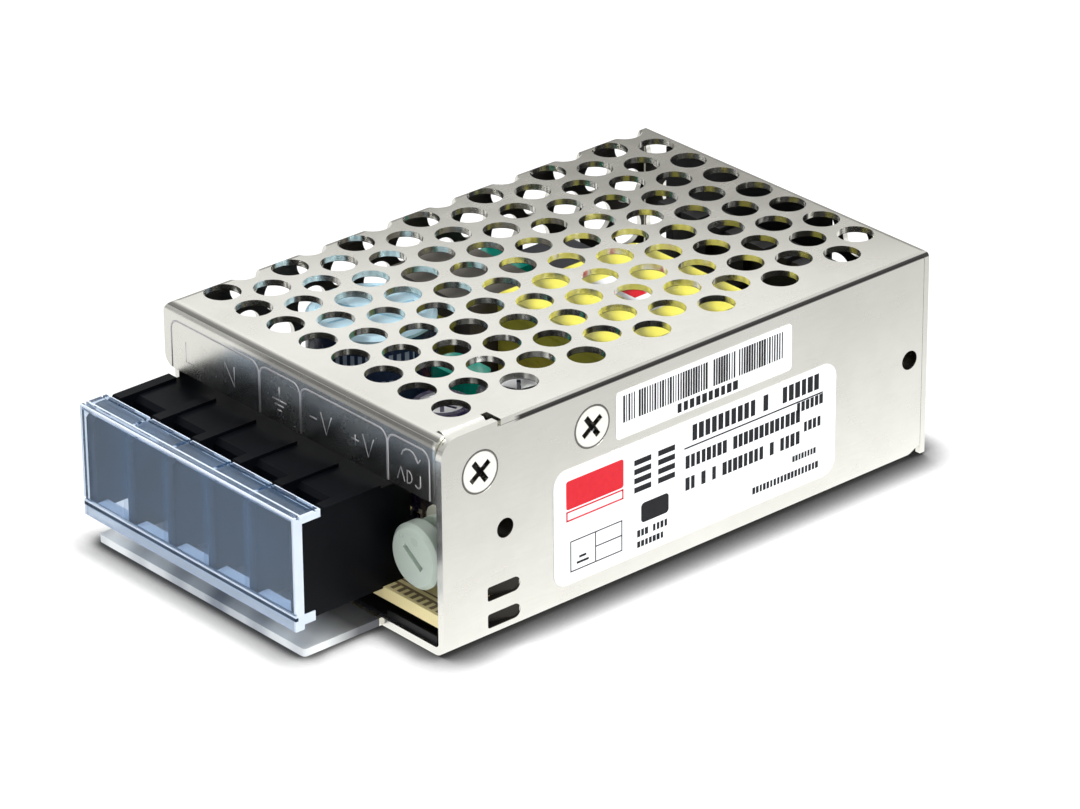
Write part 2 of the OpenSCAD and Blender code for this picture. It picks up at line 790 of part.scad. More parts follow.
core_x = 18.4;
core_y = 33.7;
core_w = board_w - side_room - core_x;        // transformer fills what is left between its neighbours
core_gap_rear = 0.7;
core_l = rear_y - core_gap_rear - core_y;
core_h = headroom - core_gap;
core_t = 9;                                   // ferrite, along the case
core_leg = 4.2;
core_rise = 1.2;                              // ferrite above the board, and winding above the ferrite
low_yoke = 3.4;
top_yoke = 3.2;
window_low = core_rise + low_yoke;
window_top = core_h - core_rise - top_yoke;
winding_r = 1.6;
bobbin_side = 1;                              // bobbin's base inside the winding, each side
bobbin_end = 0.4;
rail_t = 1.6;
rail_h = 3.2;
rail_side = 1.4;
rail_end = 0.6;

can_2_d = 8;
can_2_h = 16;
can_1_side = 7.2;                             // from the board's right edge
can_1_x = board_w - can_1_side;
can_1_y = 18.9;
can_gap = 1.05;
can_2_x = can_1_x - out_cap_d/2 - can_2_d/2 - can_gap;
can_2_y = 15.6;
small_can_d = 5;
small_can_h = 11;
small_can_x = board_w - side_room/2 + 0.2;
small_can_front = 4.6;                        // from the transformer's front
small_can_back = 4.8;                         // from the front of the rear row
small_can_side = 5;                           // last one, from the board's right edge

inductor_d = 8.4;
inductor_h = 11.2;
inductor_rim = 1.6;
inductor_waist = 0.8;                         // depth of its wound waist
inductor_slope = 0.6;
inductor_step = 6.2;
inductor_x = can_2_x - inductor_step;
inductor_y = 10;

thermistor_d = 8;
thermistor_t = 3.2;
thermistor_x = inductor_x - inductor_d/2 - 0.4 - thermistor_d/2;
thermistor_y = 8.4;
varistor_d = 8.5;
varistor_t = 3.4;
varistor_x = 21.6;
varistor_y = 28.6;
disc_rise = 1.6;                              // discs stand on their legs this far above the board
disc_leg_d = 0.8;

fuse_w = 4.2;
fuse_l = 8.4;
fuse_h = 8;
fuse_x = 1.5;
fuse_y = 5.4;

resistor_d = 2.5;
resistor_l = 6.2;
resistor_leg_d = 0.6;
front_resistor_x = board_w - 11.45;
front_resistor_y = 5.6;
opto_w = 6.4;
opto_l = 4.6;
chip_h = 3.4;
chip_in = 2;                                  // chips and resistors, from the front of the rear row
opto_in = 5.2;
resistor_in = 0.8;
ic_w = 9.4;
ic_l = 6.4;
// parts in the rear row share the board's width with even gaps
rear_gap = (board_w - bridge_x - 1 - bridge_w - 3*resistor_d - ic_w - opto_w)/5;
rear_1 = bridge_x + bridge_w + rear_gap + resistor_d/2;
rear_2 = rear_1 + resistor_d + rear_gap;
ic_x = rear_2 + resistor_d/2 + rear_gap;
rear_3 = ic_x + ic_w + rear_gap + resistor_d/2;
opto_x = rear_3 + resistor_d/2 + rear_gap;

sink_h = headroom - 3.2;
sink_t = 1.6;
sink_left = 10;
sink_right = 9.4;
sink_y = board_back - 4.4;
sink_front = 2.6;                             // reach of its folded top to the front
sink_rear = 1;                                // and to the back
sink_slots = 6;
sink_slot = 1;
sink_slot_pitch = 4;
sink_slot_x = 3.2;
transistor_x = 14;

spreader_t = 2;
spreader_y0 = 14.6;
spreader_y1 = 35.4;
spreader_gap = 1.6;                           // between the spreader and the case's top
diode_y = 25;
diode_gap = 7.6;

module bulk_capacitor() color("#9cc4d8") at_case()
    on_board(bulk_x, bulk_y) can(bulk_d, headroom - bulk_gap);

module fuse() color("#3a2a22") at_case() on_board(fuse_x, fuse_y) soft_box([fuse_w, fuse_l, fuse_h], 0.5);

module thermistor() color("#20342c") at_case()
    on_board(thermistor_x, thermistor_y) disc_part(thermistor_d, thermistor_t);

module varistor() color("#c8452c") at_case()
    on_board(varistor_x, varistor_y) disc_part(varistor_d, varistor_t);

// disc on two legs, seen face on along y
module disc_part(d, t) {
    edge = 0.8;
    translate([0, t/2, disc_rise + d/2]) rotate([90, 0, 0]) rotate_extrude()
        polygon([[0, 0], [d/2 - edge, 0], [d/2, edge], [d/2, t - edge], [d/2 - edge, t], [0, t]]);
    for (x = [-d/4, d/4]) translate([x, 0, 0]) cylinder(d = disc_leg_d, h = disc_rise + 1.2);
}

module x_capacitor() color("#3b3d42") at_case()
    on_board(x_cap_x, x_cap_y) soft_box([x_cap_w, x_cap_l, x_cap_h], 0.4);

module y_capacitors() color("#2e6f9e") at_case() {
    for (k = [0, 1]) on_board(y_cap_x + k*y_cap_step, y_cap_y) disc_part(y_cap_d, y_cap_t);
}

module line_choke_core() color("#77736c") at_case() on_board(choke_x, choke_y) difference() {
    soft_box([choke_w, choke_l, choke_h], 0.4);
    block([choke_leg, -1, choke_foot], [choke_w - choke_leg, choke_l + 1, choke_h - choke_leg]);
}

module line_choke_winding() color("#8a8a2c") at_case() {
    w = choke_w - 2*choke_leg - 2*seat;
    h = choke_h - choke_leg - choke_foot - 2*seat;
    on_board(choke_x + choke_leg + seat, choke_y - choke_proud)
        translate([0, 0, choke_foot + seat]) soft_box([w, choke_l + 2*choke_proud, h], choke_round);
}

module bridge_rectifier() color("#1b1b1d") at_case()
    on_board(bridge_x, bridge_y) soft_box([bridge_w, bridge_l, bridge_h], 0.3);

module primary_heatsink() color("#18181a") at_case() {
    x0 = board_left + sink_left;
    x1 = board_right - sink_right;
    top = board_top + sink_h;
    difference() {
        union() {
            block([x0, sink_y, board_top], [x1, sink_y + sink_t, top]);
            block([x0, sink_y - sink_front, top - sink_t], [x1, sink_y + sink_rear, top]);
        }
        for (k = [0:sink_slots - 1]) translate([x0 + sink_slot_x + k*sink_slot_pitch, 0, 0])
            block([0, sink_y - sink_front - 1, top - 2], [sink_slot, sink_y + 0.1, top + 1]);
    }
}

module switching_transistor() color("#222225") at_case()
    translate([board_left + transistor_x, sink_y, board_top]) rotate([0, 0, 90]) mirror([0, 1, 0])
        power_package(sink_h - sink_t - lead_l - 0.2);

module controller_ic() color("#1d1d20") at_case()
    on_board(ic_x, rear_y + chip_in) soft_box([ic_w, ic_l, chip_h], 0.2);

module optocoupler() color("#e8e6dc") at_case()
    on_board(opto_x, rear_y + opto_in) soft_box([opto_w, opto_l, chip_h], 0.2);

module transformer_core() color("#3c3b3a") at_case() on_board(core_x, core_y) difference() {
    translate([0, (core_l - core_t)/2, core_rise]) soft_box([core_w, core_t, core_h - 2*core_rise], 0.4);
    block([core_leg, -1, window_low], [core_w - core_leg, core_l + 1, window_top]);
}

module transformer_bobbin() color("#2a2622") at_case() on_board(core_x, core_y) {
    base = core_rise - seat;
    translate([bobbin_side, bobbin_end, 0])
        soft_box([core_w - 2*bobbin_side, core_l - 2*bobbin_end, base], 0.5);
    for (y = [rail_end, core_l - rail_end - rail_t])
        translate([rail_side, y, base - eps]) soft_box([core_w - 2*rail_side, rail_t, rail_h], 0.3);
}

module transformer_winding() color("#d8d24a") at_case() on_board(core_x, core_y) difference() {
    z0 = window_low + 2*seat;
    front = (core_l - core_t)/2 - seat;
    back = front + core_t + 2*seat;
    top = core_h - core_rise + seat;
    side = core_leg + seat;
    translate([0, 0, z0]) soft_box([core_w, core_l, core_h - z0], winding_r);
    block([-1, front, 0], [side, back, top]);
    block([core_w - side, front, 0], [core_w + 1, back, top]);
    block([-1, front, window_top - seat], [core_w + 1, back, top]);
}

module film_capacitor_front() color("#1f5f4e") at_case()
    on_board(front_cap_x, front_cap_y) soft_box([front_cap_w, front_cap_l, front_cap_h], film_round);

module film_capacitor_side() color("#1f5f4e") at_case()
    on_board(side_cap_x, side_cap_y) soft_box([side_cap_w, side_cap_l, side_cap_h], film_round);

module output_capacitor_1() color("#23262c") at_case() on_board(can_1_x, can_1_y)
    can(out_cap_d, headroom - out_cap_gap);

module output_capacitor_2() color("#2b2140") at_case() on_board(can_2_x, can_2_y) can(can_2_d, can_2_h);

module output_inductor() color("#28282c") at_case() on_board(inductor_x, inductor_y) {
    r = inductor_d/2;
    low = inductor_rim;
    high = inductor_h - inductor_rim;
    rotate_extrude() polygon([[0, 0], [r, 0], [r, low], [r - inductor_waist, low + inductor_slope],
        [r - inductor_waist, high - inductor_slope], [r, high], [r, inductor_h], [0, inductor_h]]);
}

module diode_heat_spreader() color("#b9bbbe") at_case() {
    x1 = wall_in - 0.02;
    top = board_top + headroom - spreader_gap;
    difference() {
        block([x1 - spreader_t, spreader_y0, board_top], [x1, spreader_y1, top]);
        translate([right, spreader_screw_y, csk_z]) csk_hole();
    }
}

module output_diode() color("#222225") at_case()
    translate([wall_in - spreader_t - 0.04, diode_y, board_top]) power_package(headroom - diode_gap);

module resistors() color("#6f9fb0") at_case() {
    for (x = [rear_1, rear_2, rear_3]) on_board(x, rear_y + resistor_in) lying_resistor();
    on_board(front_resistor_x, front_resistor_y) lying_resistor();
}

// axial resistor lying along y with bent legs
module lying_resistor() {
    z = 1.6;
    r = resistor_d/2;
    cap = 1.6;                                // length of the thicker part at each end
    edge = 0.15;
    leg = 0.8;
    l = resistor_l;
    translate([0, 0, z]) rotate([-90, 0, 0]) rotate_extrude() polygon([[0, 0], [r - edge, 0], [r, 0.4],
        [r, cap - 0.4], [r - 0.2, cap], [r - 0.2, l - cap], [r, l - cap + 0.4], [r, l - 0.4], [r - edge, l],
        [0, l]]);
    sunk = 0.2;                               // of each leg in the body
    for (y = [-leg, l + leg]) translate([0, y, 0]) cylinder(d = resistor_leg_d, h = z + resistor_leg_d/2);
    translate([0, 0, z]) rod_y(resistor_leg_d, -leg, sunk);
    translate([0, 0, z]) rod_y(resistor_leg_d, l - sunk, l + leg);
}

module small_capacitors() color("#3a3f78") at_case() {
    on_board(small_can_x, core_y + small_can_front) can(small_can_d, small_can_h);
    on_board(small_can_x, rear_y - small_can_back) can(small_can_d, small_can_h);
    on_board(board_w - small_can_side, rear_y + chip_in) can(small_can_d, small_can_h);
}

chassis();
cover();
cover_screws();
heatsink_screw();
insulation_film();
rating_label();
serial_label();
terminal_block();
terminal_contacts();
terminal_cover();
terminal_screw(1);  // terminal_screw_1
terminal_screw(2);  // terminal_screw_2
terminal_screw(3);  // terminal_screw_3
terminal_screw(4);  // terminal_screw_4
terminal_screw(5);  // terminal_screw_5
clamp_washer(1);  // clamp_washer_1
clamp_washer(2);  // clamp_washer_2
clamp_washer(3);  // clamp_washer_3
clamp_washer(4);  // clamp_washer_4
clamp_washer(5);  // clamp_washer_5
trimmer_body();
trimmer_knob();
circuit_board();
board_standoffs();
board_screws();
fuse();
thermistor();
varistor();
x_capacitor();
y_capacitors();
line_choke_core();
line_choke_winding();
bridge_rectifier();
bulk_capacitor();
switching_transistor();
primary_heatsink();
controller_ic();
transformer_core();
transformer_bobbin();
transformer_winding();
film_capacitor_front();
film_capacitor_side();
optocoupler();
output_diode();
diode_heat_spreader();
output_capacitor_1();
output_capacitor_2();
output_inductor();
resistors();
small_capacitors();
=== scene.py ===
"""Dresses the enclosed power supply: a finish for every CAD piece, the printed labels, the legends
pressed into the front flange, and the small things on the board that show through the vents."""
import logging
import math
from dataclasses import dataclass
from enum import Enum
from typing import Any, Sequence, Union

import bmesh
import bpy
from mathutils import Matrix, Vector


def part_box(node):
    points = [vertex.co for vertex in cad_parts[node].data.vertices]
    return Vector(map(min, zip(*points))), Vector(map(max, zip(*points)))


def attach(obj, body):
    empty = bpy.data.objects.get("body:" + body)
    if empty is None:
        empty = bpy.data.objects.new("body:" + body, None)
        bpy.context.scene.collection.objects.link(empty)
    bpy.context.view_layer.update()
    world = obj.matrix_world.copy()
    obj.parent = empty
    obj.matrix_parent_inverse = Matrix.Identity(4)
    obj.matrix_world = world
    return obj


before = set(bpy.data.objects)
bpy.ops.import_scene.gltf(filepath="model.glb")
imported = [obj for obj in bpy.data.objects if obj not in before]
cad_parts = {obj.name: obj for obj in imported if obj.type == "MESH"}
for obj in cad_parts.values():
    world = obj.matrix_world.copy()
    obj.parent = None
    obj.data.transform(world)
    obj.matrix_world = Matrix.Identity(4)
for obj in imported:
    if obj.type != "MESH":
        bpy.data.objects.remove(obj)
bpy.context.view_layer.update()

MM = 0.001
ROOT = "supply"

Spot = tuple[float, float, float]
Colour = Spot
Outline = list[tuple[float, float]]
Value = Union["Term", float]

WHITE: Colour = (1.0, 1.0, 1.0)

log = logging.getLogger("power_supply")


def times(colour: Colour, factor: float) -> Colour:
    """A colour made darker or lighter, up to white."""
    return tuple(min(1.0, c * factor) for c in colour)


# shader maths ------------------------------------------------------------------------------------
@dataclass(frozen=True, eq=False)
class Term:
    """A number or colour on its way through a shader, with arithmetic that adds Math nodes."""

    wiring: "Wiring"
    socket: bpy.types.NodeSocket

    def _math(self, operation: str, *values: Value) -> "Term":
        """The output of a new Math node, fed with those values in order."""
        return self.wiring.node("ShaderNodeMath", {"operation": operation}, dict(enumerate(values)))

    def __add__(self, other: Value) -> "Term":
        """self + other."""
        return self._math("ADD", self, other)

    def __radd__(self, other: Value) -> "Term":
        """other + self."""
        return self._math("ADD", other, self)

    def __sub__(self, other: Value) -> "Term":
        """self - other."""
        return self._math("SUBTRACT", self, other)

    def __rsub__(self, other: Value) -> "Term":
        """other - self."""
        return self._math("SUBTRACT", other, self)

    def __mul__(self, other: Value) -> "Term":
        """self * other."""
        return self._math("MULTIPLY", self, other)

    def __rmul__(self, other: Value) -> "Term":
        """other * self."""
        return self._math("MULTIPLY", other, self)

    def __abs__(self) -> "Term":
        """The size of self without its sign."""
        return self._math("ABSOLUTE", self)

    def less(self, other: Value) -> "Term":
        """1 where self is under other, and 0 elsewhere."""
        return self._math("LESS_THAN", self, other)

    def more(self, other: Value) -> "Term":
        """1 where self is over other, and 0 elsewhere."""
        return self._math("GREATER_THAN", self, other)

    def within(self, low: float, high: float) -> "Term":
        """1 where self lies from low to high, with hard edges."""
        return self.more(low).both(self.less(high))

    def either(self, other: Value) -> "Term":
        """The larger of the two, which joins two masks."""
        return self._math("MAXIMUM", self, other)

    def both(self, other: Value) -> "Term":
        """The smaller of the two, which is where two masks meet."""
        return self._math("MINIMUM", self, other)

    def power(self, other: Value) -> "Term":
        """self raised to other."""
        return self._math("POWER", self, other)

    def wave(self, period: float) -> "Term":
        """A sine of self from 0 to 1 with that period."""
        return self._math("SINE", self * (2 * math.pi / period)) * 0.5 + 0.5

    def ramp(self, low: Value, high: Value, start: float = 0.0, end: float = 1.0) -> "Term":
        """Maps self from low..high to start..end, held at both ends.

        Args:
            low: the value of self that gives start.
            high: the value of self that gives end.
            start: what comes out at low.
            end: what comes out at high.

        Returns:
            The mapped value.
        """
        sockets = ("Value", "From Min", "From Max", "To Min", "To Max")
        values = dict(zip(sockets, (self, low, high, start, end)))
        return self.wiring.node("ShaderNodeMapRange", {"clamp": True}, values)

    def spread(self, start: float, end: float) -> "Term":
        """Maps a noise, most of which lies from 0.3 to 0.7, to start..end."""
        return self.ramp(0.3, 0.7, start, end)

    def between(self, low: float, high: float, soft: float = 0.02) -> "Term":
        """1 where self lies from low to high, with edges that are `soft` wide."""
        return self.ramp(low - soft, low).both(self.ramp(high, high + soft, 1.0, 0.0))


class Wiring:
    """Adds nodes to one node tree."""

    def __init__(self, tree: bpy.types.NodeTree) -> None:
        """Empties the tree."""
        self.tree = tree
        tree.nodes.clear()

    def node(
        self,
        kind: str,
        settings: dict[str, Any] | None = None,
        values: dict[str | int, Any] | None = None,
        output: str | int = 0,
    ) -> Term:
        """Adds any node.

        Args:
            kind: the node's type.
            settings: its properties, which are set first.
            values: numbers, tuples or Terms for its sockets, by name or number.
            output: which output to hand back.

        Returns:
            That output.
        """
        made = self.tree.nodes.new(kind)
        for key, value in (settings or {}).items():
            setattr(made, key, value)
        for key, value in (values or {}).items():
            self.feed(made.inputs[key], value)
        return Term(self, made.outputs[output])

    def feed(self, socket: bpy.types.NodeSocket, value: Any) -> None:
        """Links a Term to a socket, or sets the socket's own value.

        Args:
            socket: the socket.
            value: a Term, a number or a tuple.
        """
        if isinstance(value, Term):
            self.tree.links.new(value.socket, socket)
        elif isinstance(value, tuple) and len(value) == 3 and socket.type == "RGBA":
            socket.default_value = (*value, 1.0)
        else:
            socket.default_value = value

    def axes(self, vector: Term) -> list[Term]:
        """The x, y and z of a vector."""
        split = self.node("ShaderNodeSeparateXYZ", values={0: vector})
        return [Term(self, output) for output in split.socket.node.outputs]

    def rays(self) -> list[Term]:
        """1 on camera, on glossy and on transmission rays, in that order."""
        kinds = ("Camera", "Glossy", "Transmission")
        return [self.node("ShaderNodeLightPath", output=f"Is {kind} Ray") for kind in kinds]

    def mix(self, share: Value, low: Any, high: Any, way: str = "MIX") -> Term:
        """A colour that goes from low to high, blended that way, as share goes from 0 to 1."""
        settings = {"data_type": "RGBA", "blend_type": way}
        return self.node("ShaderNodeMix", settings, {0: share, 6: low, 7: high}, 2)

    def multiply(self, colour: Any, other: Any, share: Value = 1.0) -> Term:
        """A colour darkened by another."""
        return self.mix(share, colour, other, "MULTIPLY")

    def blend(self, share: Value, low: Term, high: Term) -> Term:
        """A shader that goes from low to high as share goes from 0 to 1."""
        return self.node("ShaderNodeMixShader", None, {0: share, 1: low, 2: high})

    def shine(self, kind: str, colour: Colour, strength: Value) -> Term:
        """A shader of that type that gives light."""
        return self.node(kind, None, {"Color": colour, "Strength": strength})


class Recipe(Wiring):
    """One material's nodes around a Principled shader, with the place that its patterns read."""

    def __init__(self, name: str) -> None:
        """Starts a material whose place is the row frame's, in millimetres.

        Args:
            name: the material's name.
        """
        self.material = bpy.data.materials.new(name)
        self.material.use_nodes = True
        super().__init__(self.material.node_tree)
        self.shader = self.node("ShaderNodeBsdfPrincipled")
        self.surface = self.tree.nodes.new("ShaderNodeOutputMaterial").inputs["Surface"]
        self.feed(self.surface, self.shader)
        raw = self.node("ShaderNodeTexCoord", output="Object")
        scale = {0: raw, "Scale": 1 / MM}
        self.place = self.node("ShaderNodeVectorMath", {"operation": "SCALE"}, scale)

    def noise(
        self, size: float, detail: float = 3.0, roughness: float = 0.55,
        stretch: Spot = (1.0, 1.0, 1.0),
    ) -> Term:
        """Cloudy noise.

        Args:
            size: the width of its clouds in millimetres.
            detail: how many finer layers it has.
            roughness: how strong those are.
            stretch: how much longer the clouds are along each axis.

        Returns:
            The noise, from 0 to 1.
        """
        scale = tuple(1 / (size * s) for s in stretch)
        spot = {"Vector": self.place, "Scale": scale}
        scaled = self.node("ShaderNodeMapping", {"vector_type": "POINT"}, spot)
        values = {"Vector": scaled, "Scale": 1.0, "Detail": detail, "Roughness": roughness}
        return self.node("ShaderNodeTexNoise", {"noise_dimensions": "3D"}, values)

    def bump(self, height: Term, depth: float, strength: float) -> Term:
        """A normal that follows a height.

        Args:
            height: the height, where 1 is `depth` tall.
            depth: the relief in millimetres.
            strength: how much of it counts.

        Returns:
            The bent normal.
        """
        values = {"Height": height, "Distance": depth * MM, "Strength": strength}
        return self.node("ShaderNodeBump", None, values)

    def set(self, **values: Any) -> None:
        """Sets the Principled shader's sockets, named with _ for spaces."""
        for key, value in values.items():
            self.feed(self.shader.socket.node.inputs[key.replace("_", " ")], value)


# finishes ----------------------------------------------------------------------------------------
@dataclass(frozen=True)
class Finish:
    """What a piece is made of."""

    def build(self, name: str) -> bpy.types.Material:
        """Makes the material.

        Args:
            name: its name.

        Returns:
            The material.
        """
        recipe = Recipe(name)
        self.fill(recipe)
        return recipe.material

    def fill(self, r: Recipe) -> None:
        """Wires the finish into its recipe."""
        raise NotImplementedError


class Sheet(Enum):
    """Which of the two folded pieces a sheet finish is for."""

    COVER = "cover"
    CHASSIS = "chassis"


@dataclass(frozen=True)
class SheetSteel(Finish):
    """Nickel-plated sheet: faint rolled grain, handling marks, painted shade inside and a matt
    tongue.

    The box is that of the whole case, from which the inner faces are told apart. The tongue has
    soft stripes of painted reflection from the barriers over it, one for each pitch, a painted
    dark reflection in its middle, a pale gleam that is a painted reflection, and painted shadow
    under the block. Painted shade lies along the folds and near the right end of the front face,
    and a painted dark reflection dulls the flange over the terminals.
    """

    sheet: Sheet
    low: Spot
    high: Spot
    tone: Colour = (0.90, 0.895, 0.835)
    shade: Colour = (0.76, 0.745, 0.68)
    # inner: colour of the painted shade on the faces that look into the case
    inner: Colour = (0.045, 0.042, 0.038)
    # colour of the painted shade in the folds and of the painted dark reflection on the flange
    painted_shade_tone: Colour = (0.02, 0.018, 0.02)
    # gleam: the tongue's pale colour, a painted reflection
    gleam: Colour = (0.97, 1.0, 1.0)
    # stripe: colour of the painted dark reflections on the tongue
    stripe: Colour = (0.16, 0.19, 0.25)
    shadow: Colour = (0.05, 0.05, 0.065)
    rough: float = 0.22
    wall: float = 0.75
    floor_t: float = 1.1
    lip: float = 1.6
    skin: float = 0.3
    pitch: float = 7.62
    tongue_top: float = 2.0
    flange_foot: float = 15.0
    seam_start: float = 11.0
    fold_loss: float = 0.62
    seam_loss: float = 0.93
    edge_loss: float = 0.4

    def inside(self, x: Term, y: Term, z: Term) -> Term:
        """1 on the faces that look into the case.

        Args:
            x, y, z: the place in millimetres.

        Returns:
            The mask.
        """
        (x0, y0, _), (x1, y1, z1) = self.low, self.high
        w = self.wall
        if self.sheet is Sheet.COVER:
            return z.less(z1 - w).both(x.within(x0 + w, x1 - w)).both(y.within(y0 + w, y1 - w))
        deep = z.within(self.floor_t, z1 - 1.4).both(x.within(x0 + self.lip, x1 - 0.12))
        return deep.both(y.within(y0 + self.skin, y1 - self.lip))

    def painted_shade_mask(self, x: Term, y: Term, z: Term) -> Term:
        """How much painted shade lies along the folds and near the right end of the front face, and
        how much painted dark reflection lies on the flange.

        Args:
            x, y, z: the place in millimetres.

        Returns:
            The loss, from 0 to 1.
        """
        x1, _, z1 = self.high
        y0 = self.low[1]
        # painted shade along the front fold and along the side seam
        front_fold = y.between(y0 + 0.25, y0 + 0.65, 0.35).both(z.more(z1 - 0.5)) * self.fold_loss
        side_seam = z.between(z1 - 1.0, z1 - 0.48, 0.14).both(x.more(x1 - 0.6)) * self.seam_loss
        side_seam = side_seam.both(y.ramp(y0 + self.seam_start, y0 + self.seam_start + 1.0))
        face = y.less(y0 + self.skin).both(z.more(self.flange_foot))
        # painted dark reflection on the flange, and a painted shade line near the right end of the
        # front face
        sloped = (x - (z - 20.2) * 1.4).ramp(-22.0, -15.0)
        flange = sloped.both(face).both(x.less(x1 - self.lip)) * self.fold_loss
        right_edge = x.between(x1 - 1.9, x1 - 1.5, 0.2).both(face) * self.edge_loss
        return front_fold.either(side_seam).either(flange).either(right_edge)

    def fill(self, r: Recipe) -> None:
        """Plating over the whole sheet, then the painted shade of its inside, its tongue with
        painted reflections and shadow, and the painted shade and dark reflection along its folds
        and flange.

        Args:
            r: the recipe.
        """
        x, y, z = r.axes(r.place)
        y0 = self.low[1]
        clouds = r.noise(26.0, 2.0).ramp(0.34, 0.68)
        smudge = r.noise(5.0, 4.0, 0.6).ramp(0.35, 0.75)
        grain = r.noise(0.35, 3.0, 0.6, (1.0, 9.0, 1.0))
        pits = r.noise(0.12, 2.0, 0.7)
        tone = r.mix(clouds * 0.5 + smudge * 0.2, self.tone, self.shade)
        tone = r.multiply(tone, r.mix(grain, (0.93, 0.93, 0.93), WHITE))
        inside = self.inside(x, y, z)
        # painted shade: the faces that look into the case are darkened
        tone = r.mix(inside, tone, self.inner)
        tongue = y.less(y0 - 0.4).both(z.less(self.tongue_top))
        # painted reflection: soft dark stripes of the barriers over the tongue, and a darker middle
        stripe = (x + (y - y0) * 0.6 + 3.2).wave(self.pitch).ramp(0.25, 0.95)
        middle = abs(x + 2.0).ramp(1.0, 18.0, 0.6, 0.0)
        # painted shadow under the block
        under = y.ramp(y0 - 9.0, y0 - 3.5)
        plate = r.mix(stripe * 0.28 + middle, self.gleam, self.stripe)
        tone = r.mix(tongue, tone, r.mix(under * 0.9, plate, self.shadow))
        # painted shade in the folds and painted dark reflection on the flange
        tone = r.mix(self.painted_shade_mask(x, y, z), tone, self.painted_shade_tone)
        rough = smudge.ramp(0, 1, self.rough - 0.04, self.rough + 0.06)
        rough = rough + grain * 0.05 + inside * 0.25
        r.set(Base_Color=tone, Metallic=1.0 - tongue * 0.6, Roughness=rough + tongue * 0.1)
        r.set(Normal=r.bump(grain * 0.7 + pits * 0.3, 0.003, 0.09))


class Facing(Enum):
    """The way a screw's head looks, as the number of its axis."""

    RIGHT = 0
    FRONT = 1
    NONE = 3


@dataclass(frozen=True)
class BrightSteel(Finish):
    """Polished plated fastener with fine turning marks, and a recess in painted shade with painted
    glints.

    A head sunk into a wall is given as its y, its z and its radius, and gets a dark ring round it.
    """

    tone: Colour = (0.88, 0.87, 0.82)
    rough: float = 0.16
    facing: Facing = Facing.NONE
    face: float = 0.0
    metal: float = 1.0
    head: Spot | None = None
    # colour of the painted shade in the recess
    recess_shade: Colour = (0.02, 0.018, 0.016)
    glint: Colour = (0.5, 0.48, 0.42)
    ring: Colour = (0.05, 0.045, 0.035)

    def fill(self, r: Recipe) -> None:
        """Smeared plating, then the recess's painted shade and glints, and the ring where the head
        has them.

        Args:
            r: the recipe.
        """
        smear = r.noise(1.6, 3.0)
        tone = r.mix(smear, times(self.tone, 0.86), self.tone)
        rough = smear.spread(self.rough, self.rough + 0.12)
        if self.facing is not Facing.NONE:
            axes = r.axes(r.place)
            depth = axes[self.facing.value]
            if self.facing is Facing.FRONT:
                depth = 0.0 - depth
            sunk = depth.less(self.face - 0.08)
            glint = r.noise(0.7, 2.0).ramp(0.56, 0.66)
            # painted shade in the recess, with painted glints
            tone = r.mix(sunk, tone, r.mix(glint * 0.5, self.recess_shade, self.glint))
            rough = rough + sunk * 0.3
            if self.head:
                y, z, radius = self.head
                dy, dz = axes[1] - y, axes[2] - z
                rim = (dy * dy + dz * dz).power(0.5).ramp(radius - 0.3, radius - 0.18)
                tone = r.mix(rim * 0.9, tone, self.ring)
        r.set(Base_Color=tone, Metallic=self.metal, Roughness=rough)
        r.set(Normal=r.bump(r.noise(0.09, 2.0, 0.6), 0.004, 0.4))


@dataclass(frozen=True)
class Moulded(Finish):
    """Moulded or cast plastic and resin, with faint flow marks and a fine skin."""

    tone: Colour
    rough: float = 0.4
    fleck: float = 0.12
    skin: float = 0.35
    grain: float = 0.25
    coat: float = 0.0
    shine: float = 0.5

    def fill(self, r: Recipe) -> None:
        """Flow marks in the colour and the gloss, and the skin's relief.

        Args:
            r: the recipe.
        """
        flow = r.noise(4.5, 3.0, 0.6)
        tone = r.mix(flow, times(self.tone, 1 - self.fleck), times(self.tone, 1 + self.fleck))
        r.set(Base_Color=tone, IOR=1.5, Specular_IOR_Level=self.shine)
        r.set(Roughness=flow.spread(self.rough - 0.04, self.rough + 0.06))
        r.set(Coat_Weight=self.coat, Coat_Roughness=0.08)
        r.set(Normal=r.bump(r.noise(self.grain, 2.0, 0.6), 0.012, self.skin))


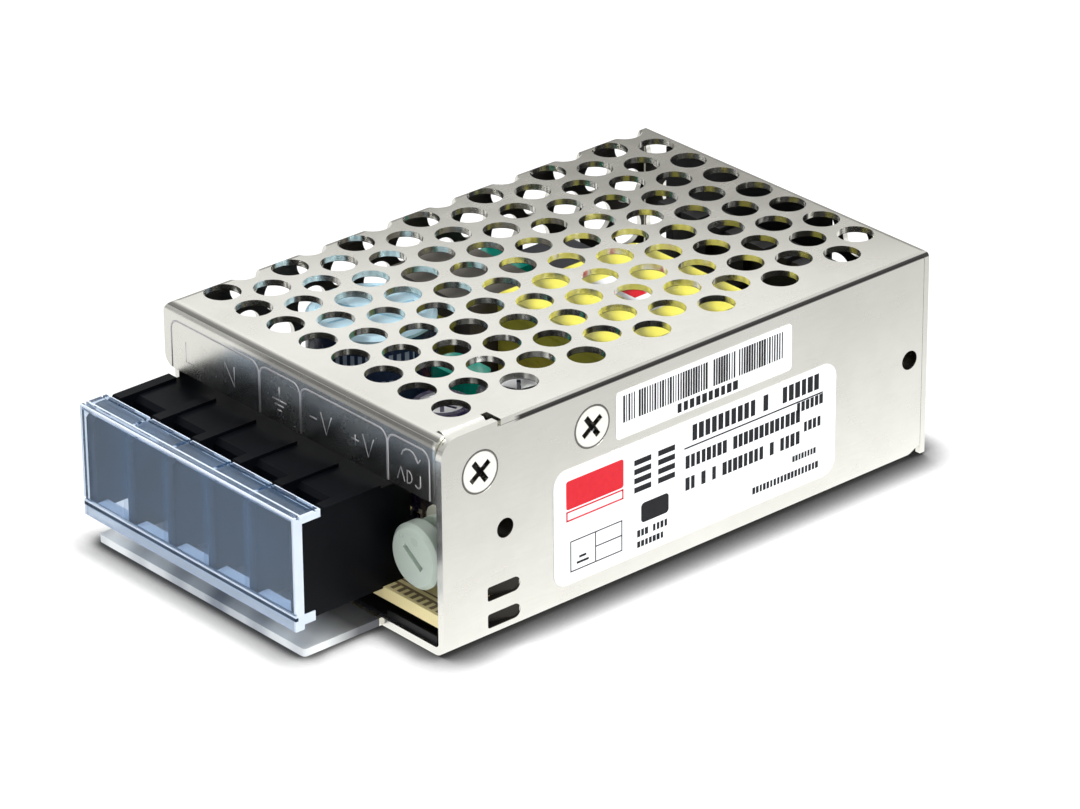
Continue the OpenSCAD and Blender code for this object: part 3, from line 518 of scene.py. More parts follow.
@dataclass(frozen=True)
class ClearPlastic(Finish):
    """Clear injection-moulded guard with a cool haze and edges that gather the light.

    The box is the guard's own, the plate is how thick its front is, and the marks are where its
    upper lip is notched.
    """

    low: Spot
    high: Spot
    marks: tuple[float, ...]
    plate: float = 1.3
    tone: Colour = (0.76, 0.87, 1.0)
    glare: Colour = (0.62, 0.80, 1.0)
    # edge: colour of the painted highlights along the rims, feet and notches
    edge: Colour = (0.66, 0.73, 0.83)
    haze: Colour = (0.12, 0.22, 0.38)
    # slot: colour of a band of painted shade along the front
    slot: Colour = (0.015, 0.03, 0.05)
    shadow: Colour = (0.9, 0.93, 0.97)
    rough: float = 0.03

    def edges(self, x: Term, y: Term, z: Term) -> Term:
        """1 where painted highlights show white: along the rims, at the feet behind the plate and
        at the lip's notches.

        Args:
            x, y, z: the place in millimetres.

        Returns:
            The mask.
        """
        (x0, y0, z0), (x1, y1, z1) = self.low, self.high
        behind = y.more(y0 + self.plate)
        front = y.less(y0 + 0.12)
        ends = x.more(x1 - 0.3).either(x.less(x0 + 0.35).both(front))
        top = z.more(z1 - 0.12)
        rims = y.less(y0 + 0.3).either(y.between(y0 + 1.06, y0 + self.plate))
        rims = top.both(rims.either(y.more(y1 - 0.14)))
        line = front.both(z.between(z0 + 1.8, z0 + 2.0).either(z.more(z1 - 0.22)))
        foot = z.less(z0 + 1.9).both(behind) * 0.8
        foot = foot.either(front.both(z.less(z0 + 1.3)) * 0.7)
        notch = z.more(z1 - 0.36).both(behind).both(y.less(y0 + self.plate + 1.1))
        notch = notch.both(self.near(x, 0.2)) * 0.7
        return ends.either(rims).either(line).either(foot).either(notch)

    def near(self, x: Term, reach: float) -> Term:
        """1 within reach of one of the marks.

        Args:
            x: the place along the guard in millimetres.
            reach: how far to each side of a mark.

        Returns:
            The mask.
        """
        found = x.between(self.marks[0] - reach, self.marks[0] + reach)
        for spot in self.marks[1:]:
            found = found.either(x.between(spot - reach, spot + reach))
        return found

    def fill(self, r: Recipe) -> None:
        """Glass, with matt plastic mixed in as a haze, as painted highlights along the edges and as
        painted shade in the slot.

        Args:
            r: the recipe.
        """
        streak = r.noise(2.4, 2.0, 0.5, (1.0, 1.0, 4.0))
        r.set(Base_Color=r.mix(streak, times(self.tone, 0.96), self.tone), IOR=1.46)
        r.set(Transmission_Weight=1.0, Specular_Tint=self.glare)
        r.set(Roughness=streak.ramp(0.3, 0.8, self.rough, self.rough + 0.03))
        r.set(Normal=r.bump(streak, 0.01, 0.2))
        x, y, z = r.axes(r.place)
        y0, z0 = self.low[1:]
        # painted highlights along the rims, at the feet and at the notches
        rim = self.edges(x, y, z)
        front = y.less(y0 + 0.4)
        # painted shade: a dark band along the front
        slot = front.both(z.between(z0 + 1.35, z0 + 1.78))
        band = front.both(self.near(x, 0.8)).both(z.more(z0 + 2.4)) * 0.14
        cloud = r.noise(6.0, 3.0).spread(0.05, 0.13) + band
        haze = r.mix(slot, r.mix(rim, self.haze, self.edge), self.slot)
        matt = r.node("ShaderNodeBsdfDiffuse", None, {"Color": haze})
        glass = r.blend((cloud + rim * 0.85).either(slot * 0.8), r.shader, matt)
        through = r.node("ShaderNodeBsdfTransparent", None, {"Color": self.shadow})
        ray = r.node("ShaderNodeLightPath", output="Is Shadow Ray")
        r.feed(r.surface, r.blend(ray, glass, through))


@dataclass(frozen=True)
class MilkyPlastic(Finish):
    """White nylon that light sinks into."""

    tone: Colour = (0.56, 0.64, 0.56)
    depth: Spot = (0.0012, 0.0014, 0.0012)

    def fill(self, r: Recipe) -> None:
        """Flow marks, and light that spreads under the skin.

        Args:
            r: the recipe.
        """
        flow = r.noise(2.0, 3.0)
        r.set(Base_Color=r.mix(flow, times(self.tone, 0.92), self.tone))
        r.set(Roughness=flow.spread(0.26, 0.36), Subsurface_Weight=0.35)
        r.set(Subsurface_Radius=self.depth, Subsurface_Scale=1.0)
        r.set(Normal=r.bump(r.noise(0.2, 2.0), 0.01, 0.3))


@dataclass(frozen=True)
class Laminate(Finish):
    """Cream board with a faint paper weave, and dark comb-like print along its front edge."""

    front_y: float
    tone: Colour = (1.0, 0.86, 0.44)
    print_tone: Colour = (0.10, 0.045, 0.02)
    thread: float = 0.32
    tooth: float = 1.15

    def fill(self, r: Recipe) -> None:
        """Stained weave, then the comb's teeth and its two spines.

        Args:
            r: the recipe.
        """
        x, y, _ = r.axes(r.place)
        weave = x.wave(self.thread) * 0.5 + y.wave(self.thread) * 0.5
        stain = r.noise(9.0, 3.0)
        tone = r.mix(stain, times(self.tone, 0.88), self.tone)
        tone = r.multiply(tone, r.mix(weave, (0.93, 0.92, 0.9), WHITE))
        from_edge = y - self.front_y
        teeth = x.wave(self.tooth).more(0.5).both(from_edge.between(0.5, 1.7))
        spines = from_edge.between(1.7, 2.1).either(from_edge.between(2.7, 2.95))
        tone = r.mix(teeth.either(spines) * 0.85, tone, self.print_tone)
        r.set(Base_Color=tone, Roughness=stain.spread(0.38, 0.5))
        r.set(Normal=r.bump(weave, 0.012, 0.3))


@dataclass(frozen=True)
class Paper(Finish):
    """Coated white label stock."""

    tone: Colour = (0.90, 0.91, 0.92)
    rough: float = 0.42

    def fill(self, r: Recipe) -> None:
        """Faint clouds and a fine fibre.

        Args:
            r: the recipe.
        """
        fibre = r.noise(0.4, 4.0, 0.6)
        r.set(Base_Color=r.mix(r.noise(12.0, 2.0), times(self.tone, 0.965), self.tone))
        r.set(Roughness=fibre.spread(self.rough, self.rough + 0.1))
        r.set(Normal=r.bump(fibre, 0.006, 0.3))


@dataclass(frozen=True)
class Ink(Finish):
    """Printed ink that lies a little unevenly on its label."""

    tone: Colour

    def fill(self, r: Recipe) -> None:
        """Thicker and thinner patches.

        Args:
            r: the recipe.
        """
        patch = r.noise(0.7, 3.0)
        thin = tuple(min(1.0, c * 1.15 + 0.012) for c in self.tone)
        r.set(Base_Color=r.mix(patch, self.tone, thin))
        r.set(Roughness=patch.spread(0.4, 0.5), Specular_IOR_Level=0.12)


@dataclass(frozen=True)
class Sleeve(Finish):
    """Electrolytic can: sleeve with a paler stripe and small marks, and a vented top.

    The top is bare aluminium, unless it is given a colour, which is a painted reflection on it.
    """

    tone: Colour
    stripe: Colour
    axis_x: float
    axis_y: float
    rim_z: float
    top_r: float
    top: Colour | None = None
    metal_dark: Colour = (0.62, 0.63, 0.65)
    metal_light: Colour = (0.86, 0.87, 0.88)

    def fill(self, r: Recipe) -> None:
        """The sleeve with its stripe and marks, then the top.

        Args:
            r: the recipe.
        """
        x, y, z = r.axes(r.place)
        dx, dy = x - self.axis_x, y - self.axis_y
        radius = (dx * dx + dy * dy).power(0.5)
        bare = z.more(self.rim_z - 0.42).both(radius.less(self.top_r))
        band = dx.less(-0.72 * self.top_r).both(z.less(self.rim_z - 1.0))
        marks = z.wave(3.4).more(0.62).both((dx + dy).wave(1.3).more(0.45))
        marks = marks.both(dy.less(0)).both(dx.more(0)).both(z.less(self.rim_z - 2.5))
        band = band.either(marks * 0.8)
        mist = r.noise(1.8, 3.0)
        scratch = r.noise(0.25, 3.0, 0.6, (1.0, 5.0, 1.0))
        film = r.mix(mist, times(self.tone, 0.85), self.tone)
        film = r.mix(band * 0.85, film, self.stripe)
        metal = r.mix(scratch, self.metal_dark, self.metal_light)
        # painted reflection: the given colour stands in for what the aluminium top reflects
        if self.top:
            metal = r.mix(mist, self.top, times(self.top, 1.2))
            bare = z.more(self.rim_z - 0.9)
        r.set(Base_Color=r.mix(bare, film, metal), Metallic=bare * (0.15 if self.top else 1.0))
        r.set(Roughness=bare * 0.1 + mist.spread(0.2, 0.3))
        r.set(Normal=r.bump(scratch, 0.008, 0.3))


@dataclass(frozen=True)
class Tape(Finish):
    """Wound polyester tape: turns that show as fine edges, and a front face darkened as painted
    shade.
    """

    tone: Colour
    # side: the darker colour of the painted shade on the front face
    side: Colour
    turn: float = 3.2
    front_y: float = -1e3

    def fill(self, r: Recipe) -> None:
        """The tape's sheen and the edges of its turns.

        Args:
            r: the recipe.
        """
        _, y, z = r.axes(r.place)
        edge = abs(z.wave(self.turn) - 0.5).ramp(0.42, 0.5)
        sheen = r.noise(3.0, 3.0, 0.5, (1.0, 1.0, 0.4))
        # painted shade: faces in front of front_y take the darker side colour
        tone = r.mix(y.less(self.front_y), self.tone, self.side)
        tone = r.multiply(tone, r.mix(sheen, (0.86, 0.86, 0.84), WHITE))
        tone = r.multiply(tone, (0.8, 0.78, 0.7), edge * 0.5)
        r.set(Base_Color=tone, Roughness=sheen.spread(0.26, 0.38))
        r.set(Normal=r.bump(edge * 0.6 + sheen * 0.4, 0.05, 0.5))


class Palette:
    """Keeps one material for each finish, and puts finishes on CAD nodes."""

    def __init__(self) -> None:
        """Starts with no materials."""
        self.made: dict[Finish, bpy.types.Material] = {}

    def get(self, finish: Finish, name: str) -> bpy.types.Material:
        """The material for a finish, made on first use.

        Args:
            finish: the finish.
            name: the name that a new material gets.

        Returns:
            The material.
        """
        if finish not in self.made:
            self.made[finish] = finish.build(name)
        return self.made[finish]

    def dress(self, finish: Finish, name: str, *nodes: str) -> None:
        """Puts a finish on CAD nodes.

        Args:
            finish: what they are made of.
            name: the material's name.
            nodes: the CAD nodes.
        """
        material = self.get(finish, name)
        for node in nodes:
            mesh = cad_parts[node].data
            if not mesh.materials:
                mesh.materials.append(material)
            for index in range(len(mesh.materials)):
                mesh.materials[index] = material
            log.info("dressed %s in %s", node, name)


PALETTE = Palette()


# meshes ------------------------------------------------------------------------------------------
def add(name: str, data: bpy.types.ID) -> bpy.types.Object:
    """Makes an object and links it into the scene.

    Args:
        name: its name.
        data: its mesh, lamp or camera.

    Returns:
        The object.
    """
    made = bpy.data.objects.new(name, data)
    bpy.context.scene.collection.objects.link(made)
    return made


def settle(piece: bpy.types.Object) -> None:
    """Lets a finished piece ride on the case.

    Args:
        piece: the piece, already in place.
    """
    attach(piece, ROOT)
    log.info("made %s with %d faces", piece.name, len(piece.data.polygons))


class MeshMaker:
    """Gathers closed shapes, given in millimetres in the row frame, into one piece."""

    def __init__(self) -> None:
        """Starts empty."""
        self.mesh = bmesh.new()

    def prism(self, outline: Outline, axis: str, low: float, high: float) -> None:
        """Adds an outline carried along an axis.

        Args:
            outline: points, counter-clockwise, in the two other axes, in the order y z or x y.
            axis: "x" or "z".
            low: where it starts on that axis.
            high: where it ends.
        """
        order = {"x": (2, 0, 1), "z": (0, 1, 2)}[axis]
        rings = []
        for level in (low, high):
            spots = [(a, b, level) for a, b in outline]
            rings.append([self.mesh.verts.new([s[k] * MM for k in order]) for s in spots])
        self.wrap(rings)

    def wrap(self, rings: list[list[bmesh.types.BMVert]]) -> None:
        """Closes rings of corners into one skin.

        Args:
            rings: the rings in order, each with the same number of corners.
        """
        self.mesh.faces.new(list(reversed(rings[0])))
        self.mesh.faces.new(rings[-1])
        for a, b in zip(rings, rings[1:]):
            for k in range(len(a)):
                n = (k + 1) % len(a)
                self.mesh.faces.new((a[k], a[n], b[n], b[k]))

    def box(self, low: Sequence[float], high: Sequence[float]) -> None:
        """Adds a box between two corners."""
        outline = [(low[0], low[1]), (high[0], low[1]), (high[0], high[1]), (low[0], high[1])]
        self.prism(outline, "z", low[2], high[2])

    def tube(self, path: Sequence[Sequence[float]], radius: float, sides: int = 8) -> None:
        """Adds a round wire along a path.

        Args:
            path: its points.
            radius: its radius.
            sides: its number of faces round.
        """
        points = [Vector(p) for p in path]
        turns = [2 * math.pi * s / sides for s in range(sides)]
        rings: list[list[bmesh.types.BMVert]] = []
        guide = Vector((0.31, 0.52, 0.79))
        for k, point in enumerate(points):
            ahead = points[min(k + 1, len(points) - 1)] - points[max(k - 1, 0)]
            ahead.normalize()
            side = ahead.cross(guide).normalized()
            up = side.cross(ahead)
            round_it = [radius * (math.cos(a) * side + math.sin(a) * up) for a in turns]
            rings.append([self.mesh.verts.new((point + step) * MM) for step in round_it])
        self.wrap(rings)

    def finish(
        self, name: str, finish: Finish, finish_name: str, slot: str | None = None,
        smooth: bool = False,
    ) -> None:
        """Makes the piece.

        Args:
            name: the piece's name.
            finish: what it is made of.
            finish_name: its material's name.
            slot: a slot of the record, which is not used.
            smooth: whether its faces are shaded smooth.
        """
        bmesh.ops.recalc_face_normals(self.mesh, faces=self.mesh.faces)
        mesh = bpy.data.meshes.new(name)
        self.mesh.to_mesh(mesh)
        self.mesh.free()
        mesh.materials.append(PALETTE.get(finish, finish_name))
        for face in mesh.polygons:
            face.use_smooth = smooth
        settle(add(name, mesh))


def span(node: str) -> tuple[Vector, Vector]:
    """A CAD node's lowest and highest corner in millimetres."""
    low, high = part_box(node)
    return low / MM, high / MM


def arc(cx: float, cz: float, r: float, start: float, end: float, steps: int = 6) -> Outline:
    """Points on an arc, with its angles in degrees."""
    turn = [math.radians(start + (end - start) * k / steps) for k in range(steps + 1)]
    return [(cx + r * math.cos(a), cz + r * math.sin(a)) for a in turn]


def rounded(y0: float, z0: float, y1: float, z1: float, r: float) -> Outline:
    """A rectangle's outline with round corners."""
    corners = ((y1 - r, z0 + r), (y1 - r, z1 - r), (y0 + r, z1 - r), (y0 + r, z0 + r))
    return [p for k, c in enumerate(corners) for p in arc(*c, r, 90 * k - 90, 90 * k)]


# studio ------------------------------------------------------------------------------------------
@dataclass
class Studio:
    """Pale floor, soft lamps and the camera."""

    eye: Spot = (460.06, -397.975, 314.91)
    azimuth: float = 48.80
    elevation: float = 26.43
    roll: float = -0.469
    lens: float = 187.39
    sensor: float = 36.0
    aim: Spot = (0.0, 0.0, 0.014)
    floor_half: float = 3.0
    floor_gap: float = 0.05
    floor_share: float = 0.95
    floor_dark: Colour = (0.83, 0.83, 0.835)
    floor_light: Colour = (0.85, 0.85, 0.855)
    left_floor: float = 0.9
    near_floor: float = 1.16
    far_floor: float = 0.62
    contact: float = 5.0
    contact_power: float = 4.8
    card_tone: Colour = (1.0, 0.985, 0.95)
    card_along: Spot = (0.6588, 0.7526, 0.0)
    card_off: float = 72.0
    card_half: float = 160.0
    card_foot: float = 2.0
    card_top: float = 56.0
    front_gloss: float = 0.4
    world_tone: Colour = (0.95, 0.97, 1.0)
    world_light: float = 0.5

    def build(self) -> None:
        """Makes the whole studio."""
        self.camera()
        self.floor()
        self.card()
        self.world()
        self.lamp("key", (0.05, 0.1, 0.95), 0.6, 8.5)
        self.lamp("fill_right", (0.8, 0.1, 0.45), 0.5, 4.5)
        self.lamp("fill_front", (-0.2, -0.8, 0.4), 0.5, 1.4)
        bpy.context.scene.view_settings.view_transform = "Standard"

    def camera(self) -> None:
        """Places the camera."""
        a, e = math.radians(self.azimuth), math.radians(self.elevation)
        back = Vector((math.sin(a) * math.cos(e), -math.cos(a) * math.cos(e), math.sin(e)))
        right = Vector((0, 0, 1)).cross(back).normalized()
        up = back.cross(right)
        c, s = math.cos(math.radians(self.roll)), math.sin(math.radians(self.roll))
        side, top = c * right + s * up, -s * right + c * up
        data = bpy.data.cameras.new("camera")
        data.lens, data.sensor_width = self.lens, self.sensor
        data.clip_start, data.clip_end = 0.05, 20.0
        turn = Matrix((side, top, back)).transposed().to_4x4()
        camera = add("camera", data)
        camera.matrix_world = Matrix.Translation(Vector(self.eye) * MM) @ turn
        bpy.context.scene.camera = camera

    def flat(self, name: str, corners: list[Spot], r: Recipe, seen: bool) -> None:
        """Adds a flat face that belongs to the studio.

        Args:
            name: its name.
            corners: its four corners in metres, in order.
            r: what it is made of.
            seen: whether more than the metal's reflections can see it.
        """
        mesh = bpy.data.meshes.new(name)
        mesh.from_pydata(corners, [], [(0, 1, 2, 3)])
        mesh.materials.append(r.material)
        flat = add(name, mesh)
        flat.visible_camera = flat.visible_diffuse = seen
        flat.visible_shadow = flat.visible_transmission = seen

    def floor(self) -> None:
        """A pale floor that keeps the object's shadow and a painted contact shadow round its foot.
        It looks white in glass, and in metal it is brightest near the case.

        It lies just under the case, and can be looked through from below.
        """
        r = Recipe("floor_paper")
        x, _, _ = r.axes(r.place)
        grain = r.noise(30.0, 2.0)
        r.set(Base_Color=r.mix(grain, self.floor_dark, self.floor_light), Roughness=0.9)
        eye, mirror, lens = r.rays()
        reach = {"Distance": self.contact * MM}
        # painted contact shadow: occlusion near the case darkens the floor's glow
        near = r.node("ShaderNodeAmbientOcclusion", {"samples": 12}, reach, "AO")
        direct = near.power(self.contact_power) * 1.14
        to_right = x.ramp(26.0, 72.0, self.near_floor, self.far_floor)
        mirrored = to_right.both(x.ramp(-40.0, 15.0, self.left_floor, self.near_floor))
        settings = {"data_type": "FLOAT"}
        strength = r.node("ShaderNodeMix", settings, {0: mirror, 2: direct, 3: mirrored})
        share = (eye.either(lens) * self.floor_share).either(mirror * 0.92)
        above = r.blend(share, r.shader, r.shine("ShaderNodeEmission", WHITE, strength))
        below = r.node("ShaderNodeNewGeometry", output="Backfacing")
        clear = r.node("ShaderNodeBsdfTransparent", None, {"Color": WHITE})
        r.feed(r.surface, r.blend(below, above, clear))
        h, level = self.floor_half, -self.floor_gap * MM
        ends = ((-h, -h), (h, -h), (h, h), (-h, h))
        self.flat("floor", [(*end, level) for end in ends], r, seen=True)

    def card(self) -> None:
        """A grey card behind and left of the object, which only shows as a shade in its metal."""
        r = Recipe("grey_card")
        z = r.axes(r.place)[2]
        strength = z.ramp(20.0, self.card_top, 0.24, 0.42)
        r.feed(r.surface, r.shine("ShaderNodeEmission", self.card_tone, strength))
        along = Vector(self.card_along)
        foot = Vector((-along.y, along.x, 0.0)) * self.card_off
        left, right = foot - along * self.card_half, foot + along * self.card_half
        low, high = self.card_foot * MM, self.card_top * MM
        ends = ((left, low), (right, low), (right, high), (left, high))
        self.flat("grey_card", [(*(c.xy * MM), level) for c, level in ends], r, seen=False)

    def world(self) -> None:
        """A white surround for the eye, a shaded one in metal, and a weaker one for its light."""
        world = bpy.data.worlds.new("studio")
        world.use_nodes = True
        w = Wiring(world.node_tree)
        y = w.axes(w.node("ShaderNodeTexCoord", output="Generated"))[1]
        kind = "ShaderNodeBackground"
        gloss = w.shine(kind, WHITE, y.ramp(-0.7, 0.3, self.front_gloss, 1.0))
        lit = w.shine(kind, self.world_tone, self.world_light)
        eye, mirror, lens = w.rays()
        inner = w.blend(mirror, lit, gloss)
        out = w.tree.nodes.new("ShaderNodeOutputWorld")
        w.feed(out.inputs[0], w.blend(eye.either(lens), inner, w.shine(kind, WHITE, 1.0)))
        bpy.context.scene.world = world

    def lamp(self, name: str, place: Spot, size: float, power: float) -> None:
        """Adds one soft square lamp that looks at the middle of the object.

        Args:
            name: its name.
            place: where it stands, in metres.
            size: its side in metres.
            power: its power in watts.
        """
        data = bpy.data.lights.new(name, "AREA")
        data.size, data.energy = size, power
        turn = (Vector(self.aim) - Vector(place)).to_track_quat("-Z", "Y")
        add(name, data).matrix_world = Matrix.Translation(place) @ turn.to_matrix().to_4x4()


# sub-assemblies ----------------------------------------------------------------------------------
def case_box() -> tuple[Spot, Spot]:
    """The case's own box in millimetres, without the terminals."""
    low, high = span("cover")
    return (low.x, low.y, 0.0), tuple(high)


COVER_STEEL = SheetSteel(Sheet.COVER, *case_box())
CHASSIS_STEEL = SheetSteel(Sheet.CHASSIS, *case_box())
PRESSED_EDGE = BrightSteel((0.60, 0.585, 0.60), 0.3, metal=0.75)
BLACK_INK = Ink((0.008, 0.008, 0.01))
RED_INK = Ink((0.56, 0.012, 0.022))
WHITE_PAPER = Paper()
BLACK_FILM = Moulded((0.006, 0.006, 0.007), 0.4, 0.2, shine=0.2)
EPOXY: Colour = (0.014, 0.014, 0.016)


@dataclass
class Case:
    """Folded chassis and perforated cover, their screws, and the legends pressed into the flange.

    Each panel is its left, its right and its top.
    """

    line_r: float = 0.17
    sign_r: float = 0.1445
    proud: float = 0.07
    panel_foot: float = 19.75
    panel_r: float = 1.3
    panels: tuple[Spot, ...] = (
        (-24.1, -7.45, 26.1), (-7.3, 0.15, 26.0), (0.3, 15.9, 25.95), (16.05, 23.4, 25.9),
    )
    head_tone: Colour = (0.98, 0.965, 0.90)
    sign_foot: float = 21.3
    sign_top: float = 23.9
    word_foot: float = 20.6
    word_top: float = 22.3

    def build(self) -> None:
        """Dresses the case and presses its legends."""
        PALETTE.dress(COVER_STEEL, "plated_cover_sheet", "cover")
        PALETTE.dress(CHASSIS_STEEL, "plated_chassis_sheet", "chassis")
        for node in ("cover_screws", "heatsink_screw"):
            low, high = span(node)
            ring = ((low.y + high.y) / 2, (low.z + high.z) / 2, (high.y - low.y) / 2)
            head = BrightSteel(
                self.head_tone, facing=Facing.RIGHT, face=high.x, metal=0.45, head=ring
            )
            PALETTE.dress(head, f"{node}_head", node)
        PALETTE.dress(BLACK_FILM, "black_film", "insulation_film")
        self.legends()

    def legends(self) -> None:
        """The raised outlines and signs on the front flange."""
        y = span("cover")[0].y + self.line_r - self.proud
        maker = MeshMaker()
        r, foot = self.panel_r, self.panel_foot
        for x0, x1, top in self.panels:
            arch = arc(x0 + r, top - r, r, 180, 90) + arc(x1 - r, top - r, r, 90, 0)
            maker.tube([(x, y, z) for x, z in ((x0, foot), *arch, (x1, foot))], self.line_r)
        for stroke in self.terminal_signs() + self.adjuster_sign():
            maker.tube([(x, y, z) for x, z in stroke], self.sign_r)
        maker.finish("pressed_legends", PRESSED_EDGE, "pressed_edge", slot="cover", smooth=True)

    def terminal_signs(self) -> list[Outline]:
        """The strokes of L, N, earth, minus V and plus V.

        Returns:
            Each stroke's points in x and z.
        """
        spans = [span(f"terminal_screw_{n}") for n in range(1, 6)]
        line, neutral, earth, minus, plus = ((low.x + high.x) / 2 for low, high in spans)
        z0, z1 = self.sign_foot, self.sign_top
        stem = earth + 1.7
        strokes = [
            [(line - 0.7, z1), (line - 0.7, z0), (line + 0.8, z0)],
            [(neutral - 0.9, z0), (neutral - 0.9, z1), (neutral + 0.9, z0), (neutral + 0.9, z1)],
            [(stem, 24.4), (stem, 22.6)],
        ]
        for k, half in enumerate((1.3, 0.85, 0.4)):
            strokes.append([(stem - half, 22.6 - 0.65 * k), (stem + half, 22.6 - 0.65 * k)])
        for x in (minus + 1.9, plus + 1.9):
            strokes.append([(x - 0.2, z1), (x + 0.8, z0), (x + 1.8, z1)])
            strokes.append([(x - 2.2, 22.7), (x - 0.9, 22.7)])
        strokes.append([(x - 1.55, 22.05), (x - 1.55, 23.35)])
        return strokes

    def adjuster_sign(self) -> list[Outline]:
        """The strokes of the turning arrow and of ADJ.

        Returns:
            Each stroke's points in x and z.
        """
        low, high = span("trimmer_knob")
        x = (low.x + high.x) / 2
        z0, z1 = self.word_foot, self.word_top
        return [
            arc(x, 23.5, 1.5, 165, 15),
            [(x + 1.0, 24.35), (x + 1.5, 23.8), (x + 1.95, 24.4)],
            [(x - 2.2, z0), (x - 1.55, z1), (x - 0.9, z0)],
            [(x - 0.45, z0), *arc(x - 0.45, 21.45, 0.85, 90, -90)],
            [(x + 1.9, z1), (x + 1.9, 21.1), *arc(x + 1.4, 21.1, 0.5, 0, -150)],
        ]


def bar_row_tree() -> bpy.types.NodeTree:
    """Geometry Nodes that lay a row of flat bars of uneven width along a line.

    Returns:
        The tree, with inputs Start, Step, Count, Least, Most, Share, Seed and Finish.
    """
    tree = bpy.data.node_groups.new("bar_row", "GeometryNodeTree")
    face, new, link = tree.interface, tree.nodes.new, tree.links.new
    face.new_socket("Geometry", in_out="OUTPUT", socket_type="NodeSocketGeometry")
    entry, leave = new("NodeGroupInput"), new("NodeGroupOutput")
    line, cube = new("GeometryNodeMeshLine"), new("GeometryNodeMeshCube")
    line.mode = "OFFSET"
    keep, size = new("FunctionNodeRandomValue"), new("FunctionNodeRandomValue")
    keep.data_type, size.data_type = "BOOLEAN", "FLOAT_VECTOR"
    points, real = new("GeometryNodeInstanceOnPoints"), new("GeometryNodeRealizeInstances")
    paint = new("GeometryNodeSetMaterial")
    for name, kind, *ends in (
        ("Start", "Vector", line.inputs["Start Location"]),
        ("Step", "Vector", line.inputs["Offset"]),
        ("Count", "Int", line.inputs["Count"]),
        ("Least", "Vector", size.inputs[0]),
        ("Most", "Vector", size.inputs[1]),
        ("Share", "Float", keep.inputs["Probability"]),
        ("Seed", "Int", size.inputs["Seed"], keep.inputs["Seed"]),
        ("Finish", "Material", paint.inputs["Material"]),
    ):
        face.new_socket(name, in_out="INPUT", socket_type=f"NodeSocket{kind}")
        for end in ends:
            link(entry.outputs[name], end)
    kept = next(s for s in keep.outputs if s.type == "BOOLEAN")
    for source, end in (
        (line.outputs[0], points.inputs["Points"]), (cube.outputs[0], points.inputs["Instance"]),
        (size.outputs[0], points.inputs["Scale"]), (kept, points.inputs["Selection"]),
        (points.outputs[0], real.inputs[0]), (real.outputs[0], paint.inputs[0]),
        (paint.outputs[0], leave.inputs[0]),
    ):
        link(source, end)
    return tree


@dataclass(frozen=True)
class BarRow:
    """One printed row of bars.

    It runs from start to end, counted from the case's front plane, and from foot to top. The step
    is the distance between bars, least the narrowest bar, share how many of the bars are there, and
    fill the widest bar as a share of the step.
    """

    name: str
    start: float
    end: float
    foot: float
    top: float
    step: float
    least: float
    share: float
    seed: int
    fill: float = 0.82


ROWS = (
    BarRow("title", 37.6, 60.0, 15.1, 17.2, 1.05, 0.7, 0.93, 3),
    BarRow("second", 37.6, 56.6, 11.7, 13.4, 0.86, 0.55, 0.9, 5),
    BarRow("third", 37.6, 56.6, 8.8, 10.5, 0.86, 0.55, 0.9, 8),
    BarRow("second_end", 55.8, 60.6, 13.0, 14.3, 0.75, 0.45, 0.95, 12),
    BarRow("third_end", 57.0, 60.4, 10.1, 11.4, 0.75, 0.45, 0.95, 13),
    BarRow("small_upper", 55.2, 59.6, 6.6, 7.4, 0.5, 0.3, 0.85, 17),
    BarRow("small_lower", 48.6, 59.8, 4.5, 5.4, 0.58, 0.34, 0.85, 19),
    BarRow("note_upper", 29.9, 35.0, 5.3, 6.2, 0.62, 0.36, 0.9, 23),
    BarRow("note_lower", 29.9, 34.6, 3.9, 4.7, 0.62, 0.36, 0.9, 29),
    BarRow("number", 36.2, 46.8, 19.55, 20.75, 1.0, 0.62, 1.0, 31),
    BarRow("code", 27.7, 53.8, 21.2, 24.7, 0.41, 0.13, 0.97, 37, 0.84),
)


